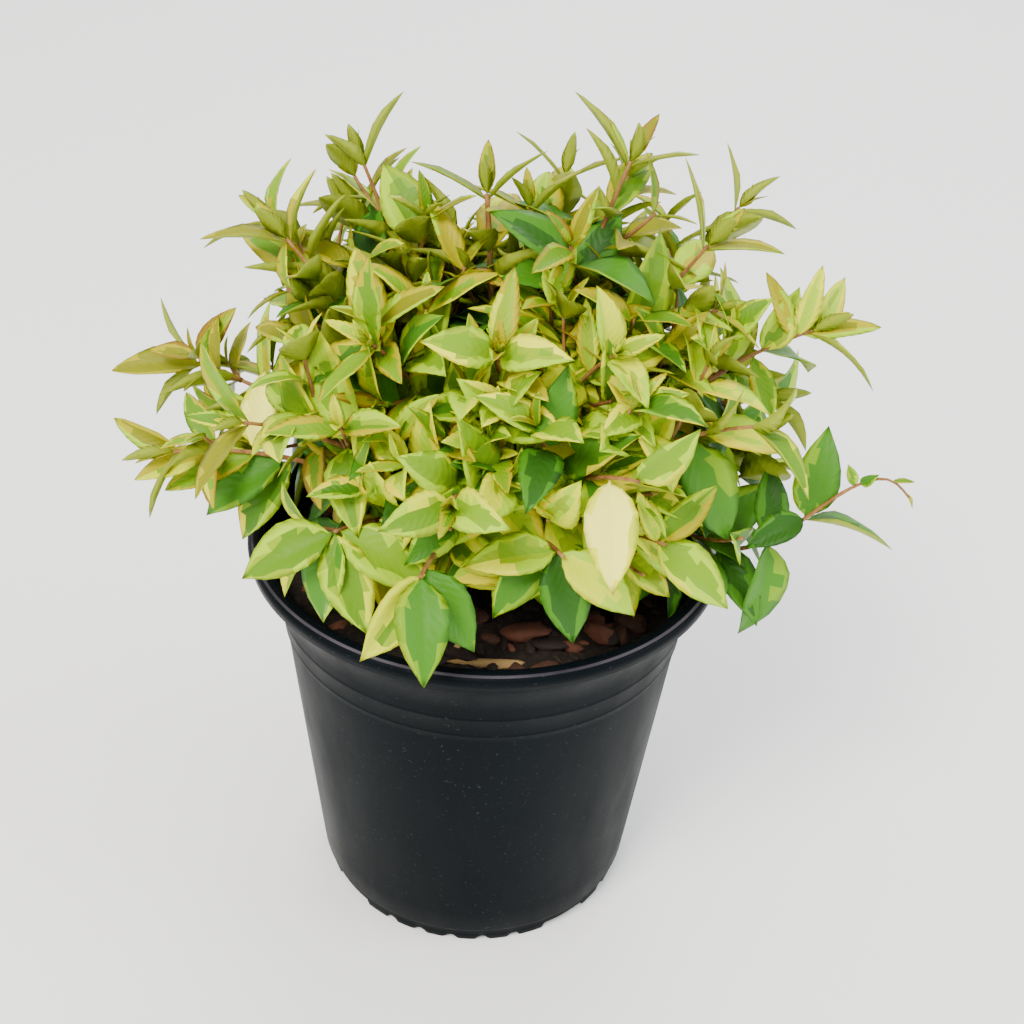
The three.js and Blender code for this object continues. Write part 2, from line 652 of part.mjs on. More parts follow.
// Foliage of one shoot, grown by the seeded rule
class Foliage {
  constructor(shoot, index, space) {
    this.shoot = shoot;
    this.space = space;
    this.random = seededRandom(GROWTH.seed + 97 * (index + 1));
    this.solids = [];
    this.twigPoints = [];
    this.blades = [];
  }

  vary(amount) {
    return 1 + amount * (2 * this.random() - 1);
  }

  // Direction square to a twig at a given turn about it
  sideways(along, turn) {
    const reference = Math.abs(along.z) > 0.9 ? new THREE.Vector3(1, 0, 0) : UP;
    const level = new THREE.Vector3().crossVectors(reference, along).normalize();
    const over = new THREE.Vector3().crossVectors(along, level);
    return level.multiplyScalar(Math.cos(turn)).addScaledVector(over, Math.sin(turn));
  }

  addTwig(curve, startRadius, segments) {
    const radiusAt = (share) => startRadius + (TWIG_TIP_RADIUS - startRadius) * share;
    this.solids.push(toSolid(taperedLimb(curve, radiusAt, TWIG_SIDES, segments, TWIG_FACE)));
    this.twigPoints.push(...curve.getPoints(Math.ceil(curve.getLength() / LIMB_SAMPLE_SPACING)));
  }

  // A leaf that doesn't fit is tried again shorter and closer to its twig, then left out
  addLeaf(base, along, turn, angle, length, width) {
    for (let attempt = 0; attempt < PLACING_TRIES; attempt += 1) {
      const side = this.sideways(along, turn + RETRY_TURN * attempt * (this.random() - 0.5));
      const leafAngle = angle * RETRY_CLOSER ** attempt;
      const sag = GROWTH.sag * Math.sin(leafAngle) ** 2;
      const direction = leaning(along, side, leafAngle).addScaledVector(UP, -sag).normalize();
      const outward = new THREE.Vector3(base.x, base.y, 0).normalize();
      const facing = UP.clone().addScaledVector(outward, LEAF.faceOutward);
      facing.addScaledVector(along, LEAF.faceAlong);
      const corners = leafCorners(base, direction, facing, length * RETRY_SHORTER ** attempt, width);
      const blade = freeBlade(corners);
      const crosses = this.blades.some((other) => leavesCross(blade, other));
      if (!crosses && !bladeTouches(blade, this.twigPoints) && this.space.holds(corners)) {
        this.solids.push(toSolid(leafGeometry(corners)));
        this.blades.push(blade);
        return;
      }
    }
  }

  addPair(base, along, turn, angle, length, width = LEAF.width) {
    for (const half of [0, Math.PI]) {
      const leafAngle = angle * this.vary(GROWTH.leafVariety);
      this.addLeaf(base, along, turn + half, leafAngle, length * this.vary(GROWTH.leafVariety), width);
    }
  }

  // Close pairs of small upright leaves at a twig's tip
  addTuft(curve, turn, pairs) {
    const along = curve.getTangentAt(1);
    const spacing = GROWTH.tuftSpacing / curve.getLength();
    for (let pair = 0; pair < pairs; pair += 1) {
      const base = curve.getPointAt(1 - spacing * (pairs - 0.7 - pair));
      const angle = GROWTH.tuftAngle * (1.15 - 0.4 * pair);
      const length = GROWTH.tuftLeafLength * (1 - 0.15 * pair);
      this.addPair(base, along, turn + (pair * Math.PI) / 2, angle, length, LEAF.tuftWidth);
    }
  }

  // Side twig from a node: it leaves at an angle and turns back towards the light
  sideTwigCurve(base, along, turn, scale) {
    const side = this.sideways(along, turn);
    const start = leaning(along, side, GROWTH.sideTwigAngle * this.vary(GROWTH.twigVariety));
    const free = (point) => this.space.owns(point, SIDE_TWIG_RADIUS) && this.space.clearOfThings(point);
    for (let attempt = 0; attempt < PLACING_TRIES; attempt += 1) {
      const length = GROWTH.sideTwigLength * scale * RETRY_SHORTER ** attempt;
      const bend = base.clone().addScaledVector(start, length * GROWTH.sideTwigBend);
      const tip = bend.clone().addScaledVector(start, length * GROWTH.sideTwigReach);
      tip.addScaledVector(UP, length * GROWTH.sideTwigLift);
      const curve = new THREE.QuadraticBezierCurve3(base, bend, tip);
      if (curve.getPoints(6).slice(1).every(free)) return curve;
    }
    return null;
  }

  grow() {
    const { curve, twigShare, twigLength, curl, bough, footRadius } = this.shoot;
    const main = new CurveStretch(curve, twigShare, 1);
    const nodeCount = Math.max(3, Math.round(twigLength / GROWTH.internode));
    const leafyNodes = curl ? Math.floor(nodeCount * (1 - GROWTH.curlBareShare)) : nodeCount - 1;
    const firstTurn = this.random() * Math.PI;
    this.addTwig(bough ? main : curve, bough ? BOUGH_TIP_RADIUS : footRadius, nodeCount);
    const nodes = [];
    for (let node = 1; node <= leafyNodes; node += 1) {
      const share = (node - 0.35) / nodeCount;
      const [base, along] = [main.getPointAt(share), main.getTangentAt(share)];
      const turn = firstTurn + (node * Math.PI) / 2;
      const twigTurn = turn + (node % 2) * Math.PI + 0.3;
      const bears = node <= GROWTH.sideTwigs;
      const twig = bears ? this.sideTwigCurve(base, along, twigTurn, 1.1 - 0.25 * share) : null;
      if (twig) this.addTwig(twig, SIDE_TWIG_RADIUS, 1);
      nodes.push({ share, along, turn, twig });
    }
    if (!curl) this.addTuft(main, firstTurn + this.random(), GROWTH.tuftPairs);
    for (const { share, along, turn, twig } of nodes) {
      const angle = GROWTH.lowLeafAngle + (GROWTH.highLeafAngle - GROWTH.lowLeafAngle) * share;
      const length = GROWTH.lowLeafLength + (GROWTH.highLeafLength - GROWTH.lowLeafLength) * share;
      if (twig) {
        this.addTuft(twig, turn + this.random(), GROWTH.sideTuftPairs);
        const base = twig.getPointAt(GROWTH.sideLeafShare);
        const onward = twig.getTangentAt(GROWTH.sideLeafShare);
        const sideLength = GROWTH.highLeafLength * GROWTH.sideLeafScale;
        this.addPair(base, onward, turn + Math.PI / 2 + 0.3, GROWTH.highLeafAngle, sideLength);
      }
      const below = main.getPointAt(share - GROWTH.axilDrop / twigLength);
      this.addPair(below, along, turn, angle, length);
    }
    return this.solids;
  }
}

const plant = new THREE.Group();
plant.add(namedMesh('pot', potSolid(), FINISHES.pot));
plant.add(namedMesh('growing_mix', mixSolid(), FINISHES.mix));
plant.add(namedMesh('main_stem', mainStemSolid(), FINISHES.stem));

const shoots = plannedShoots();
const limbs = limbSamples(shoots);
const stemHollow = mainStemSolid(CLEARANCE);
shoots.forEach((shoot, index) => {
  if (shoot.bough) {
    plant.add(namedMesh(`bough_${shoot.name}`, boughSolid(shoot, stemHollow), FINISHES.bough));
  }
  const space = new FoliageSpace(shoot, shoots, limbs);
  const foliage = wasm.Manifold.union(new Foliage(shoot, index, space).grow());
  const freed = joinToOneBody([foliage.subtract(stemHollow)]);
  plant.add(namedMesh(`foliage_${shoot.name}`, freed, FINISHES.leaf));
});

export default plant;
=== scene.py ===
"""Looks of a golden-variegated glossy abelia growing in a black nursery pot.

The plant grows in millimetres, with +Z up and the middle of the pot's flat underside as the
origin. Finished meshes are in metres.
"""

import logging
import math
import random
from collections.abc import Callable, Sequence
from dataclasses import dataclass, field
from enum import Enum

import bmesh
import bpy
import numpy as np
from mathutils import Matrix, Vector, noise


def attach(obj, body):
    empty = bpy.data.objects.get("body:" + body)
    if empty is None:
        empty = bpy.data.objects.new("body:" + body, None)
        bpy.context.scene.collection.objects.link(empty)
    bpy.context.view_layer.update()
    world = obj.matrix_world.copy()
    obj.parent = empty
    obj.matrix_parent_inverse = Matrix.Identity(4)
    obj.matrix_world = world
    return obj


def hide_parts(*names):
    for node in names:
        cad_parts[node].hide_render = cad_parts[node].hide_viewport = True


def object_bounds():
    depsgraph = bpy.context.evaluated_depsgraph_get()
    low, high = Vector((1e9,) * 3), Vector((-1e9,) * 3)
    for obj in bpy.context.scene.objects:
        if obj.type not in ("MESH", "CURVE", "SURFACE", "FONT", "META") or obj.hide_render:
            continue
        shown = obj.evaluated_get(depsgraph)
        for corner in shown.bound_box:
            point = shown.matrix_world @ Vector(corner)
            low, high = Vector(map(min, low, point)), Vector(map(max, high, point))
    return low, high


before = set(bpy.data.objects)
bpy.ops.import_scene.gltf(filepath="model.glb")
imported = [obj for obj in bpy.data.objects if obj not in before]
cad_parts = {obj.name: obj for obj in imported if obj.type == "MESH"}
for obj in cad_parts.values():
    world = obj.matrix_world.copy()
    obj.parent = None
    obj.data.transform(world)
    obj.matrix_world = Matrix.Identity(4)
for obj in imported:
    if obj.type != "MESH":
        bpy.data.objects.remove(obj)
CAD_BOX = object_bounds()

LOG = logging.getLogger("glossy_abelia")
MILLIMETRE = 0.001
UP = Vector((0.0, 0.0, 1.0))
BODY = "root"
CURVE_SAMPLES = 120
PART_SAMPLES = 40
TANGENT_STEP = 0.01
NOISE_MIDDLE = (0.3, 0.7)
GRAIN_STRETCH = 3.2
KNOT_SHARPNESS = 12
DULL_GLOSS = 0.3
NEAR_UPRIGHT = 0.9
# Roughness, spacing and number of a noise's octaves
GRAIN_OCTAVES = (0.8, 2.1, 4)
CRUMB_OCTAVES = (0.9, 2.2, 5)
# Corners closer than this are merged
SEAM = 1e-3
BLADE_SEAM = 1e-4
FACE_TAGS = ("row", "ring", "side")

Colour = tuple[int, int, int]
Triple = tuple[float, float, float]
Radius = Callable[[float], float]


def linear(colour: Colour) -> tuple[float, float, float, float]:
    """Turns a colour as seen on a screen into the linear one that a shader takes.

    Args:
        colour: Red, green and blue from 0 to 255.

    Returns:
        Linear red, green, blue and an alpha of 1.
    """
    shares = [channel / 255 for channel in colour]
    flat = [share / 12.92 if share <= 0.04045 else ((share + 0.055) / 1.055) ** 2.4 for share in shares]
    return (flat[0], flat[1], flat[2], 1.0)


def polar(azimuth: float, reach: float, height: float) -> Vector:
    """Point at an azimuth in radians, a reach from the pot's axis and a height."""
    return Vector((reach * math.cos(azimuth), reach * math.sin(azimuth), height))


def turned_to(across: Vector, along: Vector, facing: Vector) -> Matrix:
    """Turn that carries X, Y and Z to three directions."""
    return Matrix((across, along, facing)).transposed().to_4x4()


def leaning(along: Vector, side: Vector, angle: float) -> Vector:
    """Direction that leans from one direction by an angle towards another at right angles to it."""
    return along * math.cos(angle) + side * math.sin(angle)


def sideways(along: Vector, turn: float) -> Vector:
    """Direction square to a twig, at a turn about it.

    Args:
        along: Direction of the twig.
        turn: Turn about the twig, in radians.

    Returns:
        A direction of length 1.
    """
    reference = Vector((1.0, 0.0, 0.0)) if abs(along.z) > NEAR_UPRIGHT else UP
    level = reference.cross(along).normalized()
    return level * math.cos(turn) + along.cross(level) * math.sin(turn)


class Curve:
    """Smooth line through space that is read by the share of its length."""

    def __init__(self, points: Sequence[Vector]) -> None:
        """Keeps the points and how far along the line each one is.

        Args:
            points: Points along the line, from its start.
        """
        self.points = np.array([list(point) for point in points])
        steps = np.linalg.norm(np.diff(self.points, axis=0), axis=1)
        self.reached = np.concatenate([[0.0], np.cumsum(steps)])
        self.length = float(self.reached[-1])

    @classmethod
    def bezier(cls, corners: Sequence[Vector]) -> "Curve":
        """Line that three or four control points draw.

        Args:
            corners: The control points, the ends included.

        Returns:
            The sampled line.
        """
        order = len(corners) - 1
        points = []
        for step in range(CURVE_SAMPLES + 1):
            share = step / CURVE_SAMPLES
            place = Vector((0.0, 0.0, 0.0))
            for index, corner in enumerate(corners):
                weight = math.comb(order, index) * (1 - share) ** (order - index) * share**index
                place += corner * weight
            points.append(place)
        return cls(points)

    def point(self, share: float) -> Vector:
        """Point at a share of the length."""
        target = min(max(share, 0.0), 1.0) * self.length
        return Vector([float(np.interp(target, self.reached, self.points[:, axis])) for axis in range(3)])

    def tangent(self, share: float) -> Vector:
        """Direction of the line at a share of its length."""
        inner = min(max(share, TANGENT_STEP), 1 - TANGENT_STEP)
        return (self.point(inner + TANGENT_STEP) - self.point(inner - TANGENT_STEP)).normalized()

    def part(self, start: float, end: float) -> "Curve":
        """Stretch of the line between two shares of its length."""
        shares = [start + (end - start) * step / PART_SAMPLES for step in range(PART_SAMPLES + 1)]
        return Curve([self.point(share) for share in shares])


@dataclass(frozen=True)
class TierSizes:
    """How the shoots of one tier leave the main stem, as the solids have it."""

    foot_height: float
    foot_spacing: float
    leaving_reach: float
    leaving_rise: float
    bend_share: float
    arch: float
    bare_share: float
    foot_radius: float
    bough: bool = True


class Tier(Enum):
    """Tiers of shoots, from the top of the main stem downwards."""

    LEADER = TierSizes(32, 360, 1, 30, 0.5, 20, 0.12, 1.8, False)
    INNER = TierSizes(27.5, 46, 15, 8, 0.45, 12, 0.14, 1.8, False)
    CROWN = TierSizes(21.5, 40, 14, 5, 0.5, 6, 0.4, 2)
    SHOULDER = TierSizes(14.5, 31.5, 14, 4, 0.5, 20, 0.35, 1.9)
    SKIRT = TierSizes(7.5, 32, 14, 3, 0.5, 27, 0.38, 2.1)


class Dress(Enum):
    """Colouring of a shoot's leaves."""

    OLIVE = "olive"
    BRIGHT = "bright"
    MIXED = "mixed"
    GREEN = "green"


@dataclass(frozen=True)
class Shoot:
    """One main shoot, named by where its tip stands.

    The twig end is the share of the length that the leafy twig reaches to.
    """

    name: str
    tier: Tier
    azimuth: float
    reach: float
    height: float
    dress: Dress
    twig_end: float

    @property
    def trails(self) -> bool:
        """Whether it sinks and curls over at its tip."""
        return self.name == TRAILING_SHOOT


def shoots_of(tier: Tier, *rows: tuple[str, float, float, float, Dress],
              **ends: float) -> list[Shoot]:
    """Shoots of a tier, from name, azimuth, reach, height and dress, and the twig ends that aren't 1."""
    return [Shoot(row[0], tier, *row[1:], ends.get(row[0], 1.0)) for row in rows]


SHOOTS = (
    *shoots_of(
        Tier.CROWN,
        ("top_right", 18, 48, 320, Dress.OLIVE),
        ("top_left", 146, 62, 308, Dress.OLIVE),
        ("upper_left", 178, 76, 290, Dress.OLIVE),
        ("back_tuft", 68, 66, 296, Dress.OLIVE),
        ("right_cluster", 356, 74, 298, Dress.OLIVE),
    ),
    *shoots_of(
        Tier.LEADER,
        ("top_centre", 110, 14, 306, Dress.OLIVE),
    ),
    *shoots_of(
        Tier.INNER,
        ("front_upper_left", 222, 56, 270, Dress.MIXED),
        ("front_middle", 272, 44, 272, Dress.MIXED),
        ("front_upper_right", 314, 58, 272, Dress.MIXED),
        ("front_centre", 262, 84, 236, Dress.BRIGHT),
    ),
    *shoots_of(
        Tier.SHOULDER,
        ("left_high", 152, 100, 278, Dress.OLIVE),
        ("right_back", 36, 118, 282, Dress.OLIVE),
        ("right_arm", 2, 118, 262, Dress.MIXED),
        ("left_arm", 165, 124, 222, Dress.OLIVE),
        ("front_left", 212, 100, 246, Dress.MIXED),
        ("front_right", 302, 94, 246, Dress.BRIGHT),
        ("right_shoulder", 333, 104, 250, Dress.BRIGHT),
        ("back_left", 120, 104, 258, Dress.MIXED),
        ("back", 94, 116, 232, Dress.MIXED),
        ("back_right", 62, 114, 250, Dress.MIXED),
    ),
    *shoots_of(
        Tier.SKIRT,
        ("left_low", 188, 120, 210, Dress.OLIVE),
        ("right_trailing", 344, 158, 214, Dress.GREEN),
        ("front_left_skirt", 232, 106, 212, Dress.MIXED),
        ("front_skirt", 256, 100, 208, Dress.BRIGHT),
        ("front_right_skirt", 290, 100, 212, Dress.BRIGHT),
        ("right_skirt", 316, 110, 208, Dress.BRIGHT),
        ("right_low", 20, 120, 212, Dress.GREEN),
        ("back_left_skirt", 126, 116, 208, Dress.GREEN),
        ("back_right_skirt", 64, 118, 208, Dress.GREEN),
        front_left_skirt=0.82, front_skirt=0.91, front_right_skirt=0.82, right_skirt=0.82,
    ),
)
TRAILING_SHOOT = "right_trailing"
BEND_TURN_SHARE = 0.4
SPREADING_ROUNDS = 60
CLEARANCE = 0.3
BOUGH_TIP_RADIUS = 1.5


@dataclass(frozen=True)
class StemSizes:
    """Short main stem between the growing mix and the fork."""

    foot_height: float = 158.3
    height: float = 32
    flare_radius: float = 12
    flare_height: float = 7
    neck_radius: float = 8.6
    fork_radius: float = 6.8
    lean: tuple[float, float] = (2, 3)

    def axis(self) -> Curve:
        """Middle line of the stem.

        Returns:
            The line from its foot to the fork.
        """
        foot = Vector((0.0, 0.0, self.foot_height))
        bend = Vector((0.0, 0.0, self.foot_height + self.height / 2))
        top = Vector((self.lean[0], self.lean[1], self.foot_height + self.height))
        return Curve.bezier((foot, bend, top))

    def radius(self, share: float) -> float:
        """Radius of the stem, with the root flare at its foot.

        Args:
            share: Share of the height.

        Returns:
            The radius.
        """
        flare = self.flare_height / self.height
        if share < flare:
            rise = 1 - share / flare
            return self.neck_radius + (self.flare_radius - self.neck_radius) * rise * rise
        return self.neck_radius + (self.fork_radius - self.neck_radius) * (share - flare) / (1 - flare)


@dataclass(frozen=True)
class PotSizes:
    """Sizes of the nursery pot, as the solids have them."""

    height: float = 171
    rim_radius: float = 95
    rim_width: float = 7.5
    rim_band: float = 6
    cove_foot_height: float = 146
    cove_foot_radius: float = 84
    foot_radius: float = 68.6
    foot_height: float = 8
    wall: float = 1.8
    ring_heights: tuple[float, float] = (131.3, 140.6)
    ring_step: float = 0.5
    pad_radius: float = 44
    channel_depth: float = 3
    floor: float = 2.4
    ring_inner: float = 62
    ring_outer: float = 66.4
    runs: int = 4
    feet_per_run: int = 6
    first_gap: float = math.radians(-142)
    gap_width: float = math.radians(19)
    gap_height: float = 2.8
    notch_radius: float = 2.6

    def wall_radius(self, height: float) -> float:
        """Outer radius of the wall below the cove.

        Args:
            height: Height to read it at.

        Returns:
            The radius, a step larger above each ring line.
        """
        share = (height - self.foot_height) / (self.cove_foot_height - self.foot_height)
        steps = sum(1 for ring in self.ring_heights if ring <= height)
        straight_top = self.cove_foot_radius - len(self.ring_heights) * self.ring_step
        return self.foot_radius + (straight_top - self.foot_radius) * share + steps * self.ring_step


STEM = StemSizes()
POT = PotSizes()
MIX_HEIGHT = 158.0


@dataclass
class GrownShoot:
    """A main shoot with its line worked out."""

    shoot: Shoot
    curve: Curve

    @property
    def bare_share(self) -> float:
        """Share of the line that is bare bough."""
        return self.shoot.tier.value.bare_share


def spread_apart(azimuths: Sequence[float], spacing: float) -> list[float]:
    """Turns sorted directions just enough that neighbours are at least a spacing apart.

    Args:
        azimuths: Directions in degrees, sorted.
        spacing: Least angle between neighbours, in degrees.

    Returns:
        The turned directions, in the same order.
    """
    spread = list(azimuths)
    count = len(spread)
    for _ in range(SPREADING_ROUNDS):
        for rank in range(count):
            following = (rank + 1) % count
            apart = spread[following] - spread[rank] + (360 if following == 0 else 0)
            lacking = max(0.0, spacing - apart) / 2
            spread[rank] -= lacking
            spread[following] += lacking
    return spread


def planned_shoots() -> list[GrownShoot]:
    """Works out the line of each main shoot by the rule of the solids.

    Returns:
        The shoots, tier by tier.
    """
    axis = STEM.axis()
    planned = []
    for tier in Tier:
        sizes = tier.value
        members = sorted((shoot for shoot in SHOOTS if shoot.tier is tier), key=lambda shoot: shoot.azimuth)
        feet = spread_apart([shoot.azimuth for shoot in members], sizes.foot_spacing)
        for shoot, foot_azimuth in zip(members, feet):
            foot = axis.point(sizes.foot_height / STEM.height)
            offset = Vector((foot.x, foot.y, 0.0))
            bend_azimuth = shoot.azimuth + (foot_azimuth - shoot.azimuth) * BEND_TURN_SHARE
            tip = polar(math.radians(shoot.azimuth), shoot.reach, shoot.height)
            leaving = polar(math.radians(foot_azimuth), sizes.leaving_reach, foot.z + sizes.leaving_rise)
            bend_height = (foot.z + tip.z) / 2 + sizes.arch
            bend = polar(math.radians(bend_azimuth), shoot.reach * sizes.bend_share, bend_height)
            curve = Curve.bezier((foot, leaving + offset, bend + offset * 0.5, tip))
            planned.append(GrownShoot(shoot, curve))
    return planned


@dataclass(frozen=True)
class Viewpoint:
    """Place and direction that the photograph was taken from, in metres."""

    place: Triple = (0.0, -0.4958, 0.5146)
    forward: Triple = (0.0166, 0.8270, -0.5620)
    roll: float = 0.0534
    lens: float = 52.73
    sensor: float = 36.0

    def axes(self) -> tuple[Vector, Vector, Vector]:
        """Directions of the picture.

        Returns:
            Directions to its right, to its top and ahead.
        """
        ahead = Vector(self.forward).normalized()
        right = ahead.cross(UP).normalized()
        above = right.cross(ahead)
        turned_right = right * math.cos(self.roll) + above * math.sin(self.roll)
        return turned_right, above * math.cos(self.roll) - right * math.sin(self.roll), ahead

    def picture_place(self, point: Vector) -> tuple[float, float]:
        """Where a point shows in the picture.

        Args:
            point: The point, in millimetres.

        Returns:
            Shares of the picture's width and height from its top left corner.
        """
        right, above, ahead = self.axes()
        seen = point - Vector(self.place) / MILLIMETRE
        scale = self.lens / self.sensor / seen.dot(ahead)
        return 0.5 + seen.dot(right) * scale, 0.5 - seen.dot(above) * scale


VIEWPOINT = Viewpoint()
# Left, top, right and bottom of the part of the picture where the growing mix shows
MIX_WINDOW = (0.435, 0.565, 0.628, 0.66)


class Surface:
    """A material in the making: its shader and the nodes that feed it."""

    def __init__(self, name: str, roughness: float, gloss: float = 0.5) -> None:
        """Makes a material with a plain shader.

        Args:
            name: Name of the material.
            roughness: Roughness of the shader.
            gloss: Specular level of the shader.
        """
        self.material = bpy.data.materials.new(name)
        self.material.use_nodes = True
        self.tree = self.material.node_tree
        self.shader = next(node for node in self.tree.nodes if node.type == "BSDF_PRINCIPLED")
        self.feed(self.shader, {"Roughness": roughness, "Specular IOR Level": gloss})

    def feed(self, node: bpy.types.Node, feeds: dict[str | int, object]) -> None:
        """Gives inputs of a node what feeds them.

        Args:
            node: The node.
            feeds: For each input, the output that is linked to it or its value.
        """
        for socket, source in feeds.items():
            if isinstance(source, bpy.types.NodeSocket):
                self.tree.links.new(source, node.inputs[socket])
            else:
                node.inputs[socket].default_value = source

    def shade(self, socket: str, source: object) -> None:
        """Feeds a socket of the shader."""
        self.feed(self.shader, {socket: source})

    def add(self, kind: str, feeds: dict[str | int, object], output: str | int = 0,
            **settings: object) -> bpy.types.NodeSocket:
        """Adds a node.

        Args:
            kind: Type of the node.
            feeds: What feeds its inputs.
            output: The output to hand on.
            **settings: Properties to give it.

        Returns:
            The output.
        """
        node = self.tree.nodes.new(kind)
        for name, value in settings.items():
            setattr(node, name, value)
        self.feed(node, feeds)
        return node.outputs[output]

    def stretched(self, stretch: Triple) -> bpy.types.NodeSocket:
        """Object coordinates scaled along each axis."""
        place = self.add("ShaderNodeTexCoord", {}, "Object")
        return self.add("ShaderNodeMapping", {"Scale": stretch, "Vector": place})

    def grain(self, scale: float, detail: float = 4.0, stretch: Triple = (1, 1, 1),
              roughness: float = 0.55) -> bpy.types.NodeSocket:
        """Cloudy noise on Object coordinates.

        Args:
            scale: Grains per metre.
            detail: Octaves of finer noise.
            stretch: Scale along each axis.
            roughness: Share of the finer noise.

        Returns:
            The noise, from 0 to 1.
        """
        feeds = {"Scale": scale, "Detail": detail, "Roughness": roughness, "Vector": self.stretched(stretch)}
        return self.add("ShaderNodeTexNoise", feeds, "Fac")

    def ramp(self, source: bpy.types.NodeSocket, places: Sequence[float],
             colours: Sequence[Colour]) -> bpy.types.NodeSocket:
        """Colours dealt out by a value.

        Args:
            source: Value from 0 to 1.
            places: Places on the ramp.
            colours: Colours at those places.

        Returns:
            The colour.
        """
        output = self.add("ShaderNodeValToRGB", {"Fac": source}, "Color")
        elements = output.node.color_ramp.elements
        while len(elements) < len(places):
            elements.new(0.5)
        for element, place, colour in zip(elements, places, colours):
            element.position = place
            element.color = linear(colour)
        return output

    def cover(self, share: bpy.types.NodeSocket, under: bpy.types.NodeSocket,
              colour: Colour) -> bpy.types.NodeSocket:
        """Lays a plain colour over another, as much of it as the share says."""
        feeds = {"Factor": share, "A": under, "B": linear(colour)}
        return self.add("ShaderNodeMix", feeds, "Result", data_type="RGBA")

    def spread(self, source: bpy.types.NodeSocket, low: float, high: float) -> bpy.types.NodeSocket:
        """Spreads the middle of a noise over a range from low to high."""
        feeds = {"Value": source, "From Min": NOISE_MIDDLE[0], "From Max": NOISE_MIDDLE[1]}
        return self.add("ShaderNodeMapRange", feeds | {"To Min": low, "To Max": high}, "Result")

    def calculate(self, operation: str, *values: bpy.types.NodeSocket | float) -> bpy.types.NodeSocket:
        """Result of a sum on one or two outputs or numbers."""
        return self.add("ShaderNodeMath", dict(enumerate(values)), operation=operation)

    def relief(self, height: bpy.types.NodeSocket, depth: float, strength: float = 1.0) -> None:
        """Raises and sinks the surface by a height from 0 to 1, its depth in metres."""
        feeds = {"Height": height, "Distance": depth, "Strength": strength}
        self.shade("Normal", self.add("ShaderNodeBump", feeds))


@dataclass(frozen=True)
class LeafFinish:
    """Plain-coloured, softly shiny leaf surface with veins that slant from the midrib to the tip."""

    name: str
    colour: Colour
    roughness: float = 0.42
    gloss: float = 0.17
    veins: float = 9.0
    vein_slant: float = -5.0
    vein_height: float = 0.35
    skin_grain: float = 2400
    relief_depth: float = 0.00016
    relief_shown: float = 0.7
    sheen_grain: float = 160
    sheen: tuple[float, float] = (0.35, 0.52)

    def material(self) -> bpy.types.Material:
        """Makes the material.

        Returns:
            The material.
        """
        surface = Surface(f"leaf_{self.name}", self.roughness, self.gloss)
        surface.shade("Base Color", linear(self.colour))
        place = surface.add("ShaderNodeTexCoord", {}, "UV")
        across = surface.add("ShaderNodeSeparateXYZ", {0: place}, "X")
        up_blade = surface.add("ShaderNodeSeparateXYZ", {0: place}, "Y")
        off_middle = surface.calculate("ABSOLUTE", surface.calculate("SUBTRACT", across, 0.5))
        slant = surface.calculate("MULTIPLY", off_middle, self.vein_slant)
        along = surface.calculate("MULTIPLY", up_blade, self.veins)
        turns = surface.calculate("MULTIPLY", surface.calculate("ADD", along, slant), math.tau)
        vein = surface.calculate("MULTIPLY", surface.calculate("SINE", turns), self.vein_height)
        skin = surface.grain(self.skin_grain, 2)
        surface.relief(surface.calculate("ADD", vein, skin), self.relief_depth, self.relief_shown)
        surface.shade("Roughness", surface.spread(surface.grain(self.sheen_grain, 3), *self.sheen))
        return surface.material


@dataclass(frozen=True)
class BarkFinish:
    """Bark in three browns with lengthwise streaks."""

    name: str
    colours: tuple[Colour, Colour, Colour]
    scale: float
    depth: float
    roughness: float = 0.8
    shades: Triple = (0.34, 0.52, 0.7)
    streak_stretch: Triple = (1, 1, 0.25)
    furrow_stretch: Triple = (1, 1, 0.3)
    furrow_fineness: float = 2.4

    def material(self) -> bpy.types.Material:
        """Makes the material.

        Returns:
            The material.
        """
        surface = Surface(self.name, self.roughness, DULL_GLOSS)
        streaks = surface.grain(self.scale, 6, self.streak_stretch, 0.65)
        surface.shade("Base Color", surface.ramp(streaks, self.shades, self.colours))
        furrows = surface.grain(self.scale * self.furrow_fineness, 6, self.furrow_stretch, 0.7)
        surface.relief(furrows, self.depth)
        return surface.material


